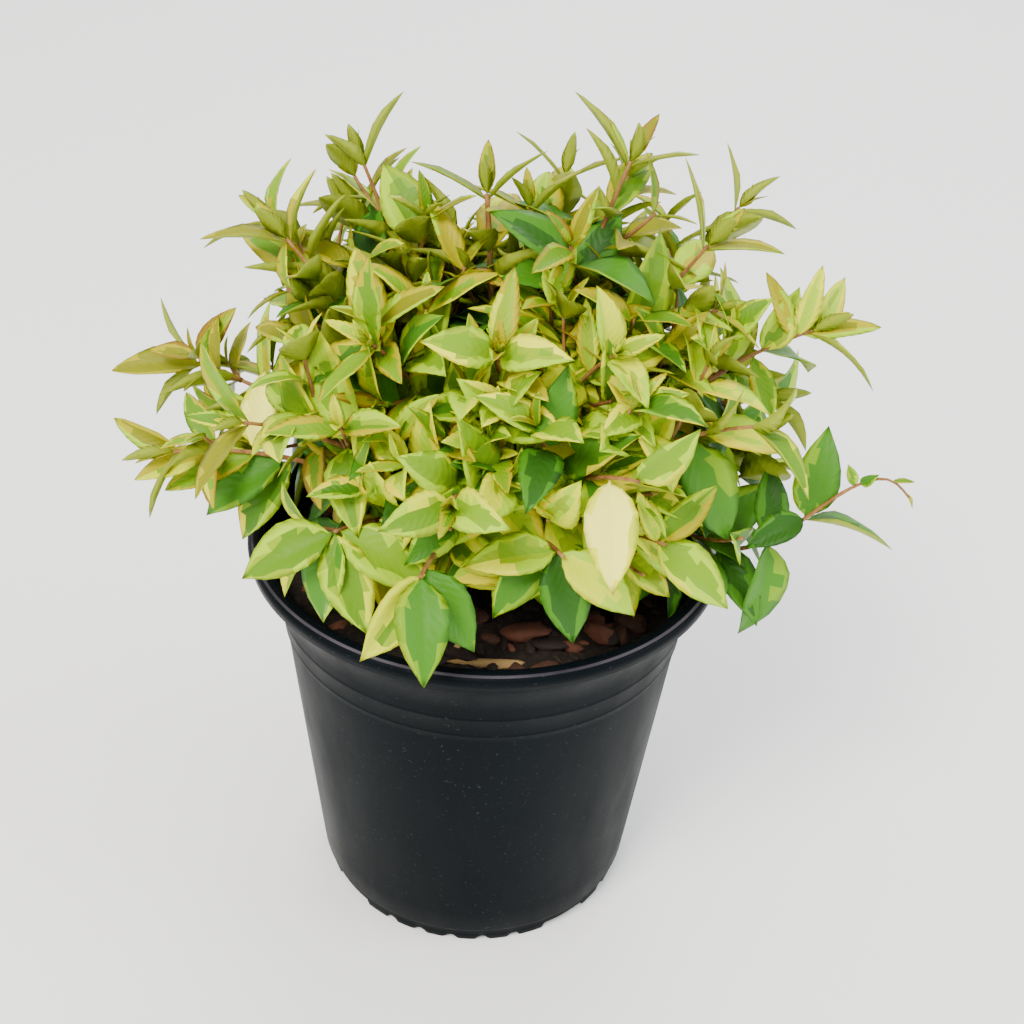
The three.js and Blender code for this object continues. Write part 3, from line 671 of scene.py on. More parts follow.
@dataclass(frozen=True)
class PlasticFinish:
    """Blue-black moulded plastic with a satin sheen, fine pale dust and a painted highlight line on the rim.
    """

    name: str = "pot_blue_black"
    base: Colour = (5, 9, 12)
    lighter: Colour = (8, 14, 18)
    dust: Colour = (54, 62, 66)
    dust_level: float = 0.685
    # Painted highlight on the rim's lip: its colour, its reach from the axis and its half width, in metres
    painted_highlight: Colour = (104, 98, 106)
    painted_highlight_reach: float = 0.0932
    painted_highlight_width: float = 0.0005
    most_shown: float = 0.75
    roughness: float = 0.36
    roughest: float = 0.52
    gloss: float = 0.04
    cloud_grain: float = 16
    cloud_shades: tuple[float, float] = (0.3, 0.72)
    speck_grain: float = 620
    # Grain of the noise that breaks the painted highlight on the rim into pieces
    patch_grain: float = 34
    highlight_breaks_grain: float = 14
    sheen_grain: float = 45
    relief_grain: float = 900
    relief_depth: float = 0.00006
    relief_shown: float = 0.6

    def material(self) -> bpy.types.Material:
        """Makes the material.

        Returns:
            The material.
        """
        surface = Surface(self.name, self.roughness, self.gloss)
        cloud = surface.grain(self.cloud_grain, 5, (1, 1, 0.5), 0.6)
        body = surface.ramp(cloud, self.cloud_shades, (self.base, self.lighter))
        dots = surface.grain(self.speck_grain, 2, roughness=0.7)
        specks = surface.calculate("GREATER_THAN", dots, self.dust_level)
        patches = surface.spread(surface.grain(self.patch_grain, 4), 0.0, self.most_shown)
        dusty = surface.cover(surface.calculate("MULTIPLY", specks, patches), body, self.dust)
        # Painted highlight: a pale line at one reach from the axis, on the lip, broken up by noise, stands
        # in for light caught by the rim
        level = surface.stretched((1, 1, 0))
        reach = surface.add("ShaderNodeVectorMath", {0: level}, "Value", operation="LENGTH")
        off_line = surface.calculate("SUBTRACT", reach, self.painted_highlight_reach)
        line = surface.calculate("LESS_THAN", surface.calculate("ABSOLUTE", off_line), self.painted_highlight_width)
        highlight_breaks = surface.spread(surface.grain(self.highlight_breaks_grain, 4), 0.0, self.most_shown)
        painted_highlight_mask = surface.calculate("MULTIPLY", line, highlight_breaks)
        surface.shade("Base Color", surface.cover(painted_highlight_mask, dusty, self.painted_highlight))
        sheen = surface.grain(self.sheen_grain, 5, (1, 1, 0.35))
        surface.shade("Roughness", surface.spread(sheen, self.roughness, self.roughest))
        skin = surface.grain(self.relief_grain, 3, roughness=0.6)
        surface.relief(skin, self.relief_depth, self.relief_shown)
        return surface.material


@dataclass(frozen=True)
class MixFinish:
    """Moist, near-black growing mix."""

    name: str = "moist_growing_mix"
    colours: tuple[Colour, Colour, Colour] = ((20, 15, 11), (38, 28, 21), (66, 46, 34))
    shades: Triple = (0.38, 0.55, 0.74)
    crumb_grain: float = 420
    relief_grain: float = 800
    relief_depth: float = 0.0012

    def material(self) -> bpy.types.Material:
        """Makes the material.

        Returns:
            The material.
        """
        surface = Surface(self.name, 0.85, DULL_GLOSS)
        crumbs = surface.grain(self.crumb_grain, 8, roughness=0.7)
        surface.shade("Base Color", surface.ramp(crumbs, self.shades, self.colours))
        surface.relief(surface.grain(self.relief_grain, 8, roughness=0.75), self.relief_depth)
        return surface.material


@dataclass(frozen=True)
class ChipFinish:
    """Plain-coloured chip of bark with a fibrous face."""

    name: str
    colour: Colour
    fibre_grain: float = 700
    fibre_stretch: Triple = (1, 0.3, 1)
    fibre_depth: float = 0.0006

    def material(self) -> bpy.types.Material:
        """Makes the material.

        Returns:
            The material.
        """
        surface = Surface(f"chip_{self.name}", 0.8, DULL_GLOSS)
        surface.shade("Base Color", linear(self.colour))
        surface.relief(surface.grain(self.fibre_grain, 6, self.fibre_stretch, 0.7), self.fibre_depth)
        return surface.material


class LeafColour(Enum):
    """Plain leaf colours, dealt out to the faces of a leaf."""

    YELLOW = LeafFinish("yellow", (200, 210, 0))
    GOLD = LeafFinish("gold", (212, 202, 0))
    LIME = LeafFinish("lime", (163, 199, 0))
    PALE = LeafFinish("pale", (222, 224, 30))
    CREAM = LeafFinish("cream", (250, 244, 104))
    FEATHER = LeafFinish("feather", (138, 166, 0))
    BLOTCH = LeafFinish("blotch", (92, 134, 8))
    DEEP_BLOTCH = LeafFinish("deep_blotch", (66, 114, 14))
    FRESH = LeafFinish("fresh", (114, 154, 2))
    GREEN = LeafFinish("green", (66, 122, 22))
    DARK = LeafFinish("dark", (42, 86, 20))
    OLIVE = LeafFinish("olive", (166, 158, 0))
    DEEP_OLIVE = LeafFinish("deep_olive", (126, 128, 0))
    RUSSET = LeafFinish("russet", (140, 112, 18))
    UNDERSIDE = LeafFinish("underside", (146, 160, 40))


@dataclass(frozen=True)
class LeafForm:
    """Proportions of a blade, in units of its own length.

    Each row holds a share of the length and the half width there, as a share of the widest. The
    columns are shares of the half width.
    """

    width: float
    fold: float
    arch: float
    droop: float
    rows: tuple[tuple[float, float], ...]
    columns: tuple[float, ...] = (0, 0.36, 0.68, 1)
    variants: int = 9


class LeafShape(Enum):
    """The blade shapes of the shrub."""

    BROAD = LeafForm(0.49, 0.34, 0.06, 0.13, (
        (0, 0), (0.05, 0.08), (0.1, 0.44), (0.19, 0.77), (0.31, 0.97), (0.45, 1), (0.6, 0.88), (0.75, 0.63),
        (0.88, 0.3), (1, 0)))
    ELLIPTIC = LeafForm(0.37, 0.36, 0.05, 0.08, (
        (0, 0), (0.05, 0.12), (0.12, 0.46), (0.24, 0.8), (0.38, 0.99), (0.53, 0.98), (0.69, 0.78),
        (0.83, 0.5), (0.94, 0.22), (1, 0)))
    SLENDER = LeafForm(0.3, 0.5, 0.03, 0.05, (
        (0, 0), (0.04, 0.22), (0.14, 0.68), (0.3, 1), (0.48, 0.97), (0.68, 0.74), (0.87, 0.42), (1, 0)),
        (0, 0.5, 1))


@dataclass(frozen=True)
class BladeRule:
    """What blades of every shape share, in units of their own length."""

    thickness: float = 0.011
    thickness_at_tip: float = 0.4
    half_bulge: float = 0.013
    edge_wave: float = 0.014
    edge_half_waves: float = 3.2
    sway: float = 0.07
    twist: float = 0.35
    droops: tuple[float, float] = (0.2, 2.0)
    droop_shortening: float = 0.3
    folds: tuple[float, float] = (0.5, 1.5)
    widths: tuple[float, float] = (0.92, 1.08)
    column_jitter: float = 0.13
    row_jitter: float = 0.022


@dataclass(frozen=True)
class DealRule:
    """How the green middle of a blade fades towards its margin and its tip.

    The fading has a step for each ring of faces from the midrib, with the margin last.
    """

    fading: tuple[float, float, float, float] = (0.0, 0.27, 0.35, 0.64)
    lean: float = 0.24
    midrib_lean: float = 0.4
    drift: float = 0.16
    drift_pitch: float = 1.5
    midrib_drift: float = 0.5
    tip_start: float = 0.56
    tip_fading: float = 0.9
    blotch_level: float = 0.3
    feather_level: float = 0.1
    washes: tuple[tuple[float, float], ...] = ((0, 0.55), (0.4, 1), (0.15, 1), (0, 0.8))


BLADE = BladeRule()
DEAL = DealRule()
OUTER_RING = 3
UNDER_SIDE = 2


def linked(name: str, data: bpy.types.ID) -> bpy.types.Object:
    """Makes an object at the origin and puts it in the scene.

    Args:
        name: Name of the object.
        data: Its mesh, camera or light.

    Returns:
        The object.
    """
    made = bpy.data.objects.new(name, data)
    bpy.context.scene.collection.objects.link(made)
    return made


@dataclass(frozen=True)
class SmallShape:
    """Arrays of a small mesh that is repeated many times."""

    corners: np.ndarray
    loops: np.ndarray
    face_sizes: np.ndarray
    uvs: np.ndarray
    tags: np.ndarray

    @classmethod
    def from_bmesh(cls, bm: bmesh.types.BMesh, tag_layers: Sequence[str] = ()) -> "SmallShape":
        """Reads a mesh with a UV map and whole-number face layers, and frees it.

        Args:
            bm: The mesh.
            tag_layers: Names of the face layers to keep.

        Returns:
            The arrays.
        """
        bm.verts.index_update()
        uv_layer = bm.loops.layers.uv.verify()
        layers = [bm.faces.layers.int[name] for name in tag_layers]
        corners = np.array([list(vert.co) for vert in bm.verts])
        loops = np.array([loop.vert.index for face in bm.faces for loop in face.loops])
        uvs = np.array([list(loop[uv_layer].uv) for face in bm.faces for loop in face.loops])
        sizes = np.array([len(face.verts) for face in bm.faces])
        tags = np.array([[face[layer] for layer in layers] for face in bm.faces])
        bm.free()
        return cls(corners, loops, sizes, uvs, tags)


class JoinedShapes:
    """Many small shapes that end up joined in one mesh."""

    def __init__(self, name: str) -> None:
        """Starts an empty collection for a piece of a name."""
        self.name = name
        self.placed: list[tuple[SmallShape, np.ndarray, np.ndarray]] = []

    def add(self, shape: SmallShape, matrix: Matrix, slots: np.ndarray) -> None:
        """Places a shape by a matrix in millimetres, with the material slot of each of its faces."""
        self.placed.append((shape, np.array(matrix), slots))

    def add_mesh(self, bm: bmesh.types.BMesh) -> None:
        """Adds a mesh as it stands and frees it."""
        shape = SmallShape.from_bmesh(bm)
        self.add(shape, Matrix.Identity(4), np.zeros(len(shape.face_sizes)))

    def build(self, materials: Sequence[bpy.types.Material]) -> bpy.types.Object:
        """Joins the shapes into one object.

        Args:
            materials: Materials of the slots, in order.

        Returns:
            The object, in metres.
        """
        parts = []
        first = 0
        for shape, matrix, face_slots in self.placed:
            moved = shape.corners @ matrix[:3, :3].T + matrix[:3, 3]
            parts.append((moved, shape.loops + first, shape.face_sizes, shape.uvs, face_slots))
            first += len(moved)
        corners, loops, sizes, uvs, slots = (np.concatenate(part) for part in zip(*parts))
        mesh = bpy.data.meshes.new(self.name)
        mesh.vertices.add(first)
        mesh.vertices.foreach_set("co", (corners * MILLIMETRE).astype(np.float32).ravel())
        mesh.loops.add(len(loops))
        mesh.loops.foreach_set("vertex_index", loops.astype(np.int32))
        mesh.polygons.add(len(sizes))
        starts = np.concatenate([[0], np.cumsum(sizes)[:-1]])
        mesh.polygons.foreach_set("loop_start", starts.astype(np.int32))
        mesh.polygons.foreach_set("material_index", slots.astype(np.int32))
        mesh.polygons.foreach_set("use_smooth", np.full(len(sizes), True))
        layer = mesh.uv_layers.new(name="UVMap")
        layer.data.foreach_set("uv", uvs.astype(np.float32).ravel())
        mesh.update(calc_edges=True)
        mesh.validate()
        for material in materials:
            mesh.materials.append(material)
        return linked(self.name, mesh)


def finished(name: str, bm: bmesh.types.BMesh, material: bpy.types.Material) -> bpy.types.Object:
    """Turns a mesh in millimetres into a smooth object in metres with one material.

    Args:
        name: Name of the piece.
        bm: Its mesh, which is freed.
        material: Its material.

    Returns:
        The object.
    """
    bmesh.ops.recalc_face_normals(bm, faces=bm.faces)
    bmesh.ops.scale(bm, vec=Vector((MILLIMETRE,) * 3), verts=bm.verts)
    for face in bm.faces:
        face.smooth = True
    mesh = bpy.data.meshes.new(name)
    bm.to_mesh(mesh)
    bm.free()
    mesh.materials.append(material)
    return linked(name, mesh)


def dressed(piece: bpy.types.Object, nodes: Sequence[str]) -> None:
    """Lets a piece ride on the body and stand for nodes of the solids.

    Args:
        piece: The piece.
        nodes: Nodes of the solids that the piece stands for.
    """
    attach(piece, BODY)
    if nodes:
        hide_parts(*nodes)
    LOG.info("%s: %d faces, stands for %d nodes", piece.name, len(piece.data.polygons), len(nodes))


def picked(items: Sequence[object], kind: type) -> list:
    """Items of one kind, such as the corners among what an operator made."""
    return [item for item in items if isinstance(item, kind)]


def sweep(curve: Curve, radius: Radius, sides: int, rings: int) -> bmesh.types.BMesh:
    """Draws a round section along a curve and closes both ends.

    Args:
        curve: Middle line.
        radius: Radius by share of the length.
        sides: Corners of the section.
        rings: Steps along the curve.

    Returns:
        The mesh, its faces turned outward.
    """
    def section(share: float) -> Matrix:
        """Place and size of the section at a share of the length.

        Args:
            share: The share.

        Returns:
            The matrix that carries a circle of radius 1 there.
        """
        along = curve.tangent(share)
        across = sideways(along, 0.0)
        turn = turned_to(across, along.cross(across), along)
        return Matrix.Translation(curve.point(share)) @ turn @ Matrix.Scale(radius(share), 4)

    bm = bmesh.new()
    bmesh.ops.create_circle(bm, segments=sides, radius=1.0)
    place = section(0.0)
    bmesh.ops.transform(bm, matrix=place, verts=bm.verts)
    edges = bm.edges[:]
    bmesh.ops.contextual_create(bm, geom=edges)
    for ring in range(1, rings + 1):
        grown = bmesh.ops.extrude_edge_only(bm, edges=edges)["geom"]
        verts = picked(grown, bmesh.types.BMVert)
        fresh = set(verts)
        edges = [edge for edge in picked(grown, bmesh.types.BMEdge) if set(edge.verts) <= fresh]
        following = section(ring / rings)
        bmesh.ops.transform(bm, matrix=following @ place.inverted(), verts=verts)
        place = following
    bmesh.ops.contextual_create(bm, geom=edges)
    bmesh.ops.recalc_face_normals(bm, faces=bm.faces)
    return bm


def lathe(section: Sequence[tuple[float, float]], steps: int) -> bmesh.types.BMesh:
    """Turns a section about the pot's axis.

    Args:
        section: Radius and height of each corner, from one end on the axis to the other.
        steps: Steps of the full turn.

    Returns:
        The closed mesh.
    """
    bm = bmesh.new()
    corners = [bm.verts.new((reach, 0.0, height)) for reach, height in section]
    edges = [bm.edges.new(pair) for pair in zip(corners, corners[1:])]
    bmesh.ops.spin(bm, geom=corners + edges, cent=(0, 0, 0), axis=UP, angle=math.tau, steps=steps,
                   use_merge=True)
    bmesh.ops.remove_doubles(bm, verts=bm.verts, dist=SEAM)
    return bm


def knotty(start: float, end: float, length: float, swelling: float) -> Radius:
    """Radius of a tapering twig that is a little swollen at its nodes.

    Args:
        start: Radius at the foot.
        end: Radius at the tip.
        length: Length of the twig.
        swelling: How much thicker it is at a node, as a share of its radius.

    Returns:
        The radius by share of the length.
    """
    waves = max(2, round(length / RULE.internode))

    def radius(share: float) -> float:
        """Radius at a share of the length."""
        knot = 1 + swelling * math.cos(math.pi * waves * share) ** KNOT_SHARPNESS
        return (start + (end - start) * share) * knot

    return radius


def roughen(bm: bmesh.types.BMesh, grain: float, depth: float, above: float = -math.inf) -> None:
    """Raises and sinks corners along their normals by lengthwise noise.

    Args:
        bm: The mesh.
        grain: Size of the grain in millimetres.
        depth: Depth in millimetres.
        above: Height that only higher corners are moved from.
    """
    bm.normal_update()
    for vert in bm.verts:
        if vert.co.z > above:
            place = Vector((vert.co.x / grain, vert.co.y / grain, vert.co.z / (grain * GRAIN_STRETCH)))
            vert.co += vert.normal * noise.fractal(place, *GRAIN_OCTAVES) * depth


class LeafTemplates:
    """Blades of one shape, each bent and edged a little differently."""

    def __init__(self, shape: LeafShape, rng: random.Random) -> None:
        """Makes the variants of a shape.

        Args:
            shape: The shape.
            rng: Source of their differences.
        """
        self.form = shape.value
        self.rows, self.rings = len(self.form.rows) - 1, len(self.form.columns) - 1
        self.shapes = [self._variant(rng) for _ in range(self.form.variants)]

    def _marked_grid(self) -> bmesh.types.BMesh:
        """Makes a flat grid whose corners know their row and column and whose faces know their zone.

        Returns:
            The grid, from -1 to 1 each way.
        """
        bm = bmesh.new()
        bmesh.ops.create_grid(bm, x_segments=2 * self.rings, y_segments=self.rows, size=1.0)
        corner_row, corner_column = bm.verts.layers.int.new("row"), bm.verts.layers.int.new("column")
        row_tag, ring_tag, side_tag = (bm.faces.layers.int.new(name) for name in FACE_TAGS)
        uv_layer = bm.loops.layers.uv.verify()
        for vert in bm.verts:
            vert[corner_row] = round((vert.co.y + 1) / 2 * self.rows)
            vert[corner_column] = round(vert.co.x * self.rings)
        for face in bm.faces:
            middle = face.calc_center_median()
            ring = int(abs(middle.x) * self.rings)
            face[row_tag] = int((middle.y + 1) / 2 * self.rows)
            face[ring_tag] = OUTER_RING if ring == self.rings - 1 else ring
            face[side_tag] = 1 if middle.x > 0 else 0
            for loop in face.loops:
                column = loop.vert[corner_column]
                share = math.copysign(self.form.columns[abs(column)], column)
                loop[uv_layer].uv = ((share + 1) / 2, self.form.rows[loop.vert[corner_row]][0])
        return bm

    def _bend(self, bm: bmesh.types.BMesh, rng: random.Random) -> None:
        """Gives the grid a blade's outline, fold, arch and wavy edge.

        Args:
            bm: The marked grid.
            rng: Source of the blade's differences.
        """
        form = self.form
        corner_row, corner_column = bm.verts.layers.int["row"], bm.verts.layers.int["column"]
        sway = rng.uniform(-BLADE.sway, BLADE.sway)
        droop = form.droop * rng.uniform(*BLADE.droops)
        twist = rng.uniform(-BLADE.twist, BLADE.twist)
        fold = form.fold * rng.uniform(*BLADE.folds)
        phase = rng.uniform(0, math.tau)
        width = form.width * rng.uniform(*BLADE.widths)
        for vert in bm.verts:
            row, column = vert[corner_row], vert[corner_column]
            share = form.columns[abs(column)]
            along, breadth = form.rows[row]
            if 0 < abs(column) < self.rings and 0 < row < self.rows:
                share += rng.uniform(-BLADE.column_jitter, BLADE.column_jitter)
                along += rng.uniform(-BLADE.row_jitter, BLADE.row_jitter)
            out = math.copysign(share * breadth * width / 2, column) if column else 0.0
            wave = math.sin(BLADE.edge_half_waves * math.pi * along + phase)
            lift = form.arch * math.sin(math.pi * along) - droop * along * along + fold * abs(out)
            lift += BLADE.edge_wave * share * breadth * wave + twist * out * along
            lift += BLADE.half_bulge * breadth * math.sin(math.pi * share)
            reach = along - BLADE.droop_shortening * droop * along * along
            vert.co = Vector((out + sway * along * along, reach, lift))

    def _add_underside(self, bm: bmesh.types.BMesh) -> None:
        """Gives a blade its underside, with fewer faces, a little below the upper face.

        Args:
            bm: The blade.
        """
        form = self.form
        corner_row, corner_column = bm.verts.layers.int["row"], bm.verts.layers.int["column"]
        side_tag = bm.faces.layers.int["side"]
        copied = bmesh.ops.duplicate(bm, geom=bm.verts[:] + bm.edges[:] + bm.faces[:])["geom"]
        under = picked(copied, bmesh.types.BMFace)
        bmesh.ops.reverse_faces(bm, faces=under)
        for face in under:
            face[side_tag] = UNDER_SIDE
        for vert in picked(copied, bmesh.types.BMVert):
            if abs(vert[corner_column]) < self.rings and 0 < vert[corner_row] < self.rows:
                vert.co.z -= BLADE.thickness * (BLADE.thickness_at_tip + form.rows[vert[corner_row]][1])
        spare = []
        for edge in picked(copied, bmesh.types.BMEdge):
            columns = {abs(vert[corner_column]) for vert in edge.verts}
            if len(columns) == 1 and 0 < min(columns) < self.rings:
                spare.append(edge)
        bmesh.ops.dissolve_edges(bm, edges=spare, use_verts=True)

    def _variant(self, rng: random.Random) -> SmallShape:
        """Makes one blade: base at the origin, tip along +Y, upper face up.

        Args:
            rng: Source of its differences.

        Returns:
            Its arrays, with a row, a ring from the midrib and a side for each face.
        """
        bm = self._marked_grid()
        corner_column = bm.verts.layers.int["column"]
        self._bend(bm, rng)
        row_tag, ring_tag = bm.faces.layers.int["row"], bm.faces.layers.int["ring"]
        split = [face for face in bm.faces
                 if 0 < face[ring_tag] < OUTER_RING and 0 < face[row_tag] < self.rows - 2]
        self._add_underside(bm)
        pieces = bmesh.ops.triangulate(bm, faces=split, quad_method="SHORT_EDGE")["faces"]
        for face in pieces:
            outer = sum(1 for vert in face.verts if abs(vert[corner_column]) == self.rings - 1)
            face[ring_tag] = 2 if outer > 1 else 1
        bmesh.ops.remove_doubles(bm, verts=bm.verts, dist=BLADE_SEAM)
        return SmallShape.from_bmesh(bm, FACE_TAGS)


@dataclass(frozen=True)
class LeafLook:
    """How one kind of leaf is coloured and shaped.

    The four colours of a scheme are those of the margin, of a wash over part of one half's margin,
    of the feathered border and of the middle blotch.
    """

    shape: LeafShape
    schemes: tuple[tuple[LeafColour, ...], ...]
    blotch: tuple[float, float]
    russet_edge: float = 0.0

    def deal(self, shape: SmallShape, rng: random.Random, order: Sequence[LeafColour]) -> np.ndarray:
        """Deals colours to the faces of a blade.

        Args:
            shape: The blade.
            rng: Source of chance.
            order: Colours in the order of the piece's slots.

        Returns:
            The slot of each face.
        """
        margin, wash, feather, blotch = rng.choice(self.schemes)
        rows = self.shape.value.rows
        strength = rng.uniform(*self.blotch)
        edge = LeafColour.RUSSET if rng.random() < self.russet_edge else None
        lean = rng.uniform(-DEAL.lean, DEAL.lean)
        phases = (rng.uniform(0, math.tau), rng.uniform(0, math.tau))
        washed = rng.choice((0, 1))
        wash_start, wash_end = rng.choice(DEAL.washes)
        chosen = []
        for row, ring, side in shape.tags:
            if side == UNDER_SIDE:
                chosen.append(LeafColour.UNDERSIDE)
                continue
            place = rows[row][0]
            drift = DEAL.drift * math.sin(DEAL.drift_pitch * row + phases[side])
            value = strength - DEAL.fading[ring] + drift * (DEAL.midrib_drift if ring == 0 else 1.0)
            value += (lean if side else -lean) * (DEAL.midrib_lean if ring == 0 else 1.0)
            value -= DEAL.tip_fading * max(0.0, place - DEAL.tip_start)
            if value > DEAL.blotch_level:
                chosen.append(blotch)
            elif value > DEAL.feather_level:
                chosen.append(feather)
            elif edge and ring == OUTER_RING:
                chosen.append(edge)
            else:
                chosen.append(wash if side == washed and wash_start <= place < wash_end else margin)
        return np.array([order.index(colour) for colour in chosen])


def schemes(*rows: str) -> tuple[tuple[LeafColour, ...], ...]:
    """Schemes given by the names of their four colours."""
    return tuple(tuple(LeafColour[name.upper()] for name in row.split()) for row in rows)


class LeafKind(Enum):
    """Kinds of leaf on the shrub."""

    TIP_OLIVE = LeafLook(LeafShape.SLENDER, schemes(
        "olive lime olive deep_olive",
        "olive deep_olive feather blotch",
        "lime olive olive deep_olive",
    ), (0.05, 0.75), 0.16)
    TIP_BRIGHT = LeafLook(LeafShape.SLENDER, schemes(
        "yellow gold lime feather",
        "lime yellow feather blotch",
        "pale yellow yellow lime",
        "olive yellow lime feather",
    ), (0.1, 0.7), 0.06)
    OLIVE = LeafLook(LeafShape.ELLIPTIC, schemes(
        "olive lime feather blotch",
        "lime olive olive fresh",
        "olive deep_olive deep_olive deep_olive",
        "olive yellow olive fresh",
    ), (0.2, 0.85), 0.1)
    VARIEGATED = LeafLook(LeafShape.BROAD, schemes(
        "yellow lime feather blotch",
        "lime yellow feather blotch",
        "lime gold fresh deep_blotch",
        "yellow gold lime fresh",
        "lime yellow lime fresh",
        "lime pale feather fresh",
    ), (0.2, 0.72))
    GOLDEN = LeafLook(LeafShape.BROAD, schemes(
        "yellow gold lime feather",
        "gold lime yellow lime",
        "lime yellow yellow feather",
    ), (0.1, 0.5))
    CREAM = LeafLook(LeafShape.BROAD, schemes("yellow pale pale cream"), (0.86, 0.95))
    FRESH = LeafLook(LeafShape.BROAD, schemes(
        "fresh feather fresh green",
        "lime fresh fresh green",
        "feather lime fresh blotch",
    ), (0.3, 0.9))
    GREEN = LeafLook(LeafShape.BROAD, schemes(
        "green fresh green green",
        "fresh green green green",
        "green green green dark",
    ), (0.4, 0.9))
    DARK = LeafLook(LeafShape.BROAD, schemes("dark green dark dark", "green dark dark dark"), (0.4, 0.9))


def odds(**weights: float) -> dict[LeafKind, float]:
    """Odds of the kinds of leaf, given by their names."""
    return {LeafKind[name]: weight for name, weight in weights.items()}


# For each dress, the odds low on a shoot and those towards its tip
KIND_ODDS = {
    Dress.OLIVE: (odds(GREEN=4, DARK=1, OLIVE=4), odds(OLIVE=9, VARIEGATED=0.5, FRESH=0.5)),
    Dress.MIXED: (odds(GREEN=4, DARK=1, FRESH=3, VARIEGATED=1),
                  odds(VARIEGATED=6, GOLDEN=2, OLIVE=3, FRESH=1)),
    Dress.BRIGHT: (odds(GREEN=4, FRESH=4, VARIEGATED=1), odds(VARIEGATED=6, GOLDEN=5, FRESH=1)),
    Dress.GREEN: (odds(GREEN=5, DARK=3), odds(GREEN=5, DARK=2, FRESH=2, VARIEGATED=1)),
}


@dataclass(frozen=True)
class PlacedLeaf:
    """A leaf with a place of its own on a shoot.

    Directions are right, away from the photograph's camera and up.
    """

    shoot: str
    share: float
    towards: Triple
    facing: Triple
    length: float
    kind: LeafKind
    open_view: bool = False


def leaves_on(shoot: str, *rows: tuple) -> list[PlacedLeaf]:
    """Leaves of one shoot: share, direction, facing, length, name of the kind and any open view."""
    return [PlacedLeaf(shoot, *row[:4], LeafKind[row[4]], *row[5:]) for row in rows]


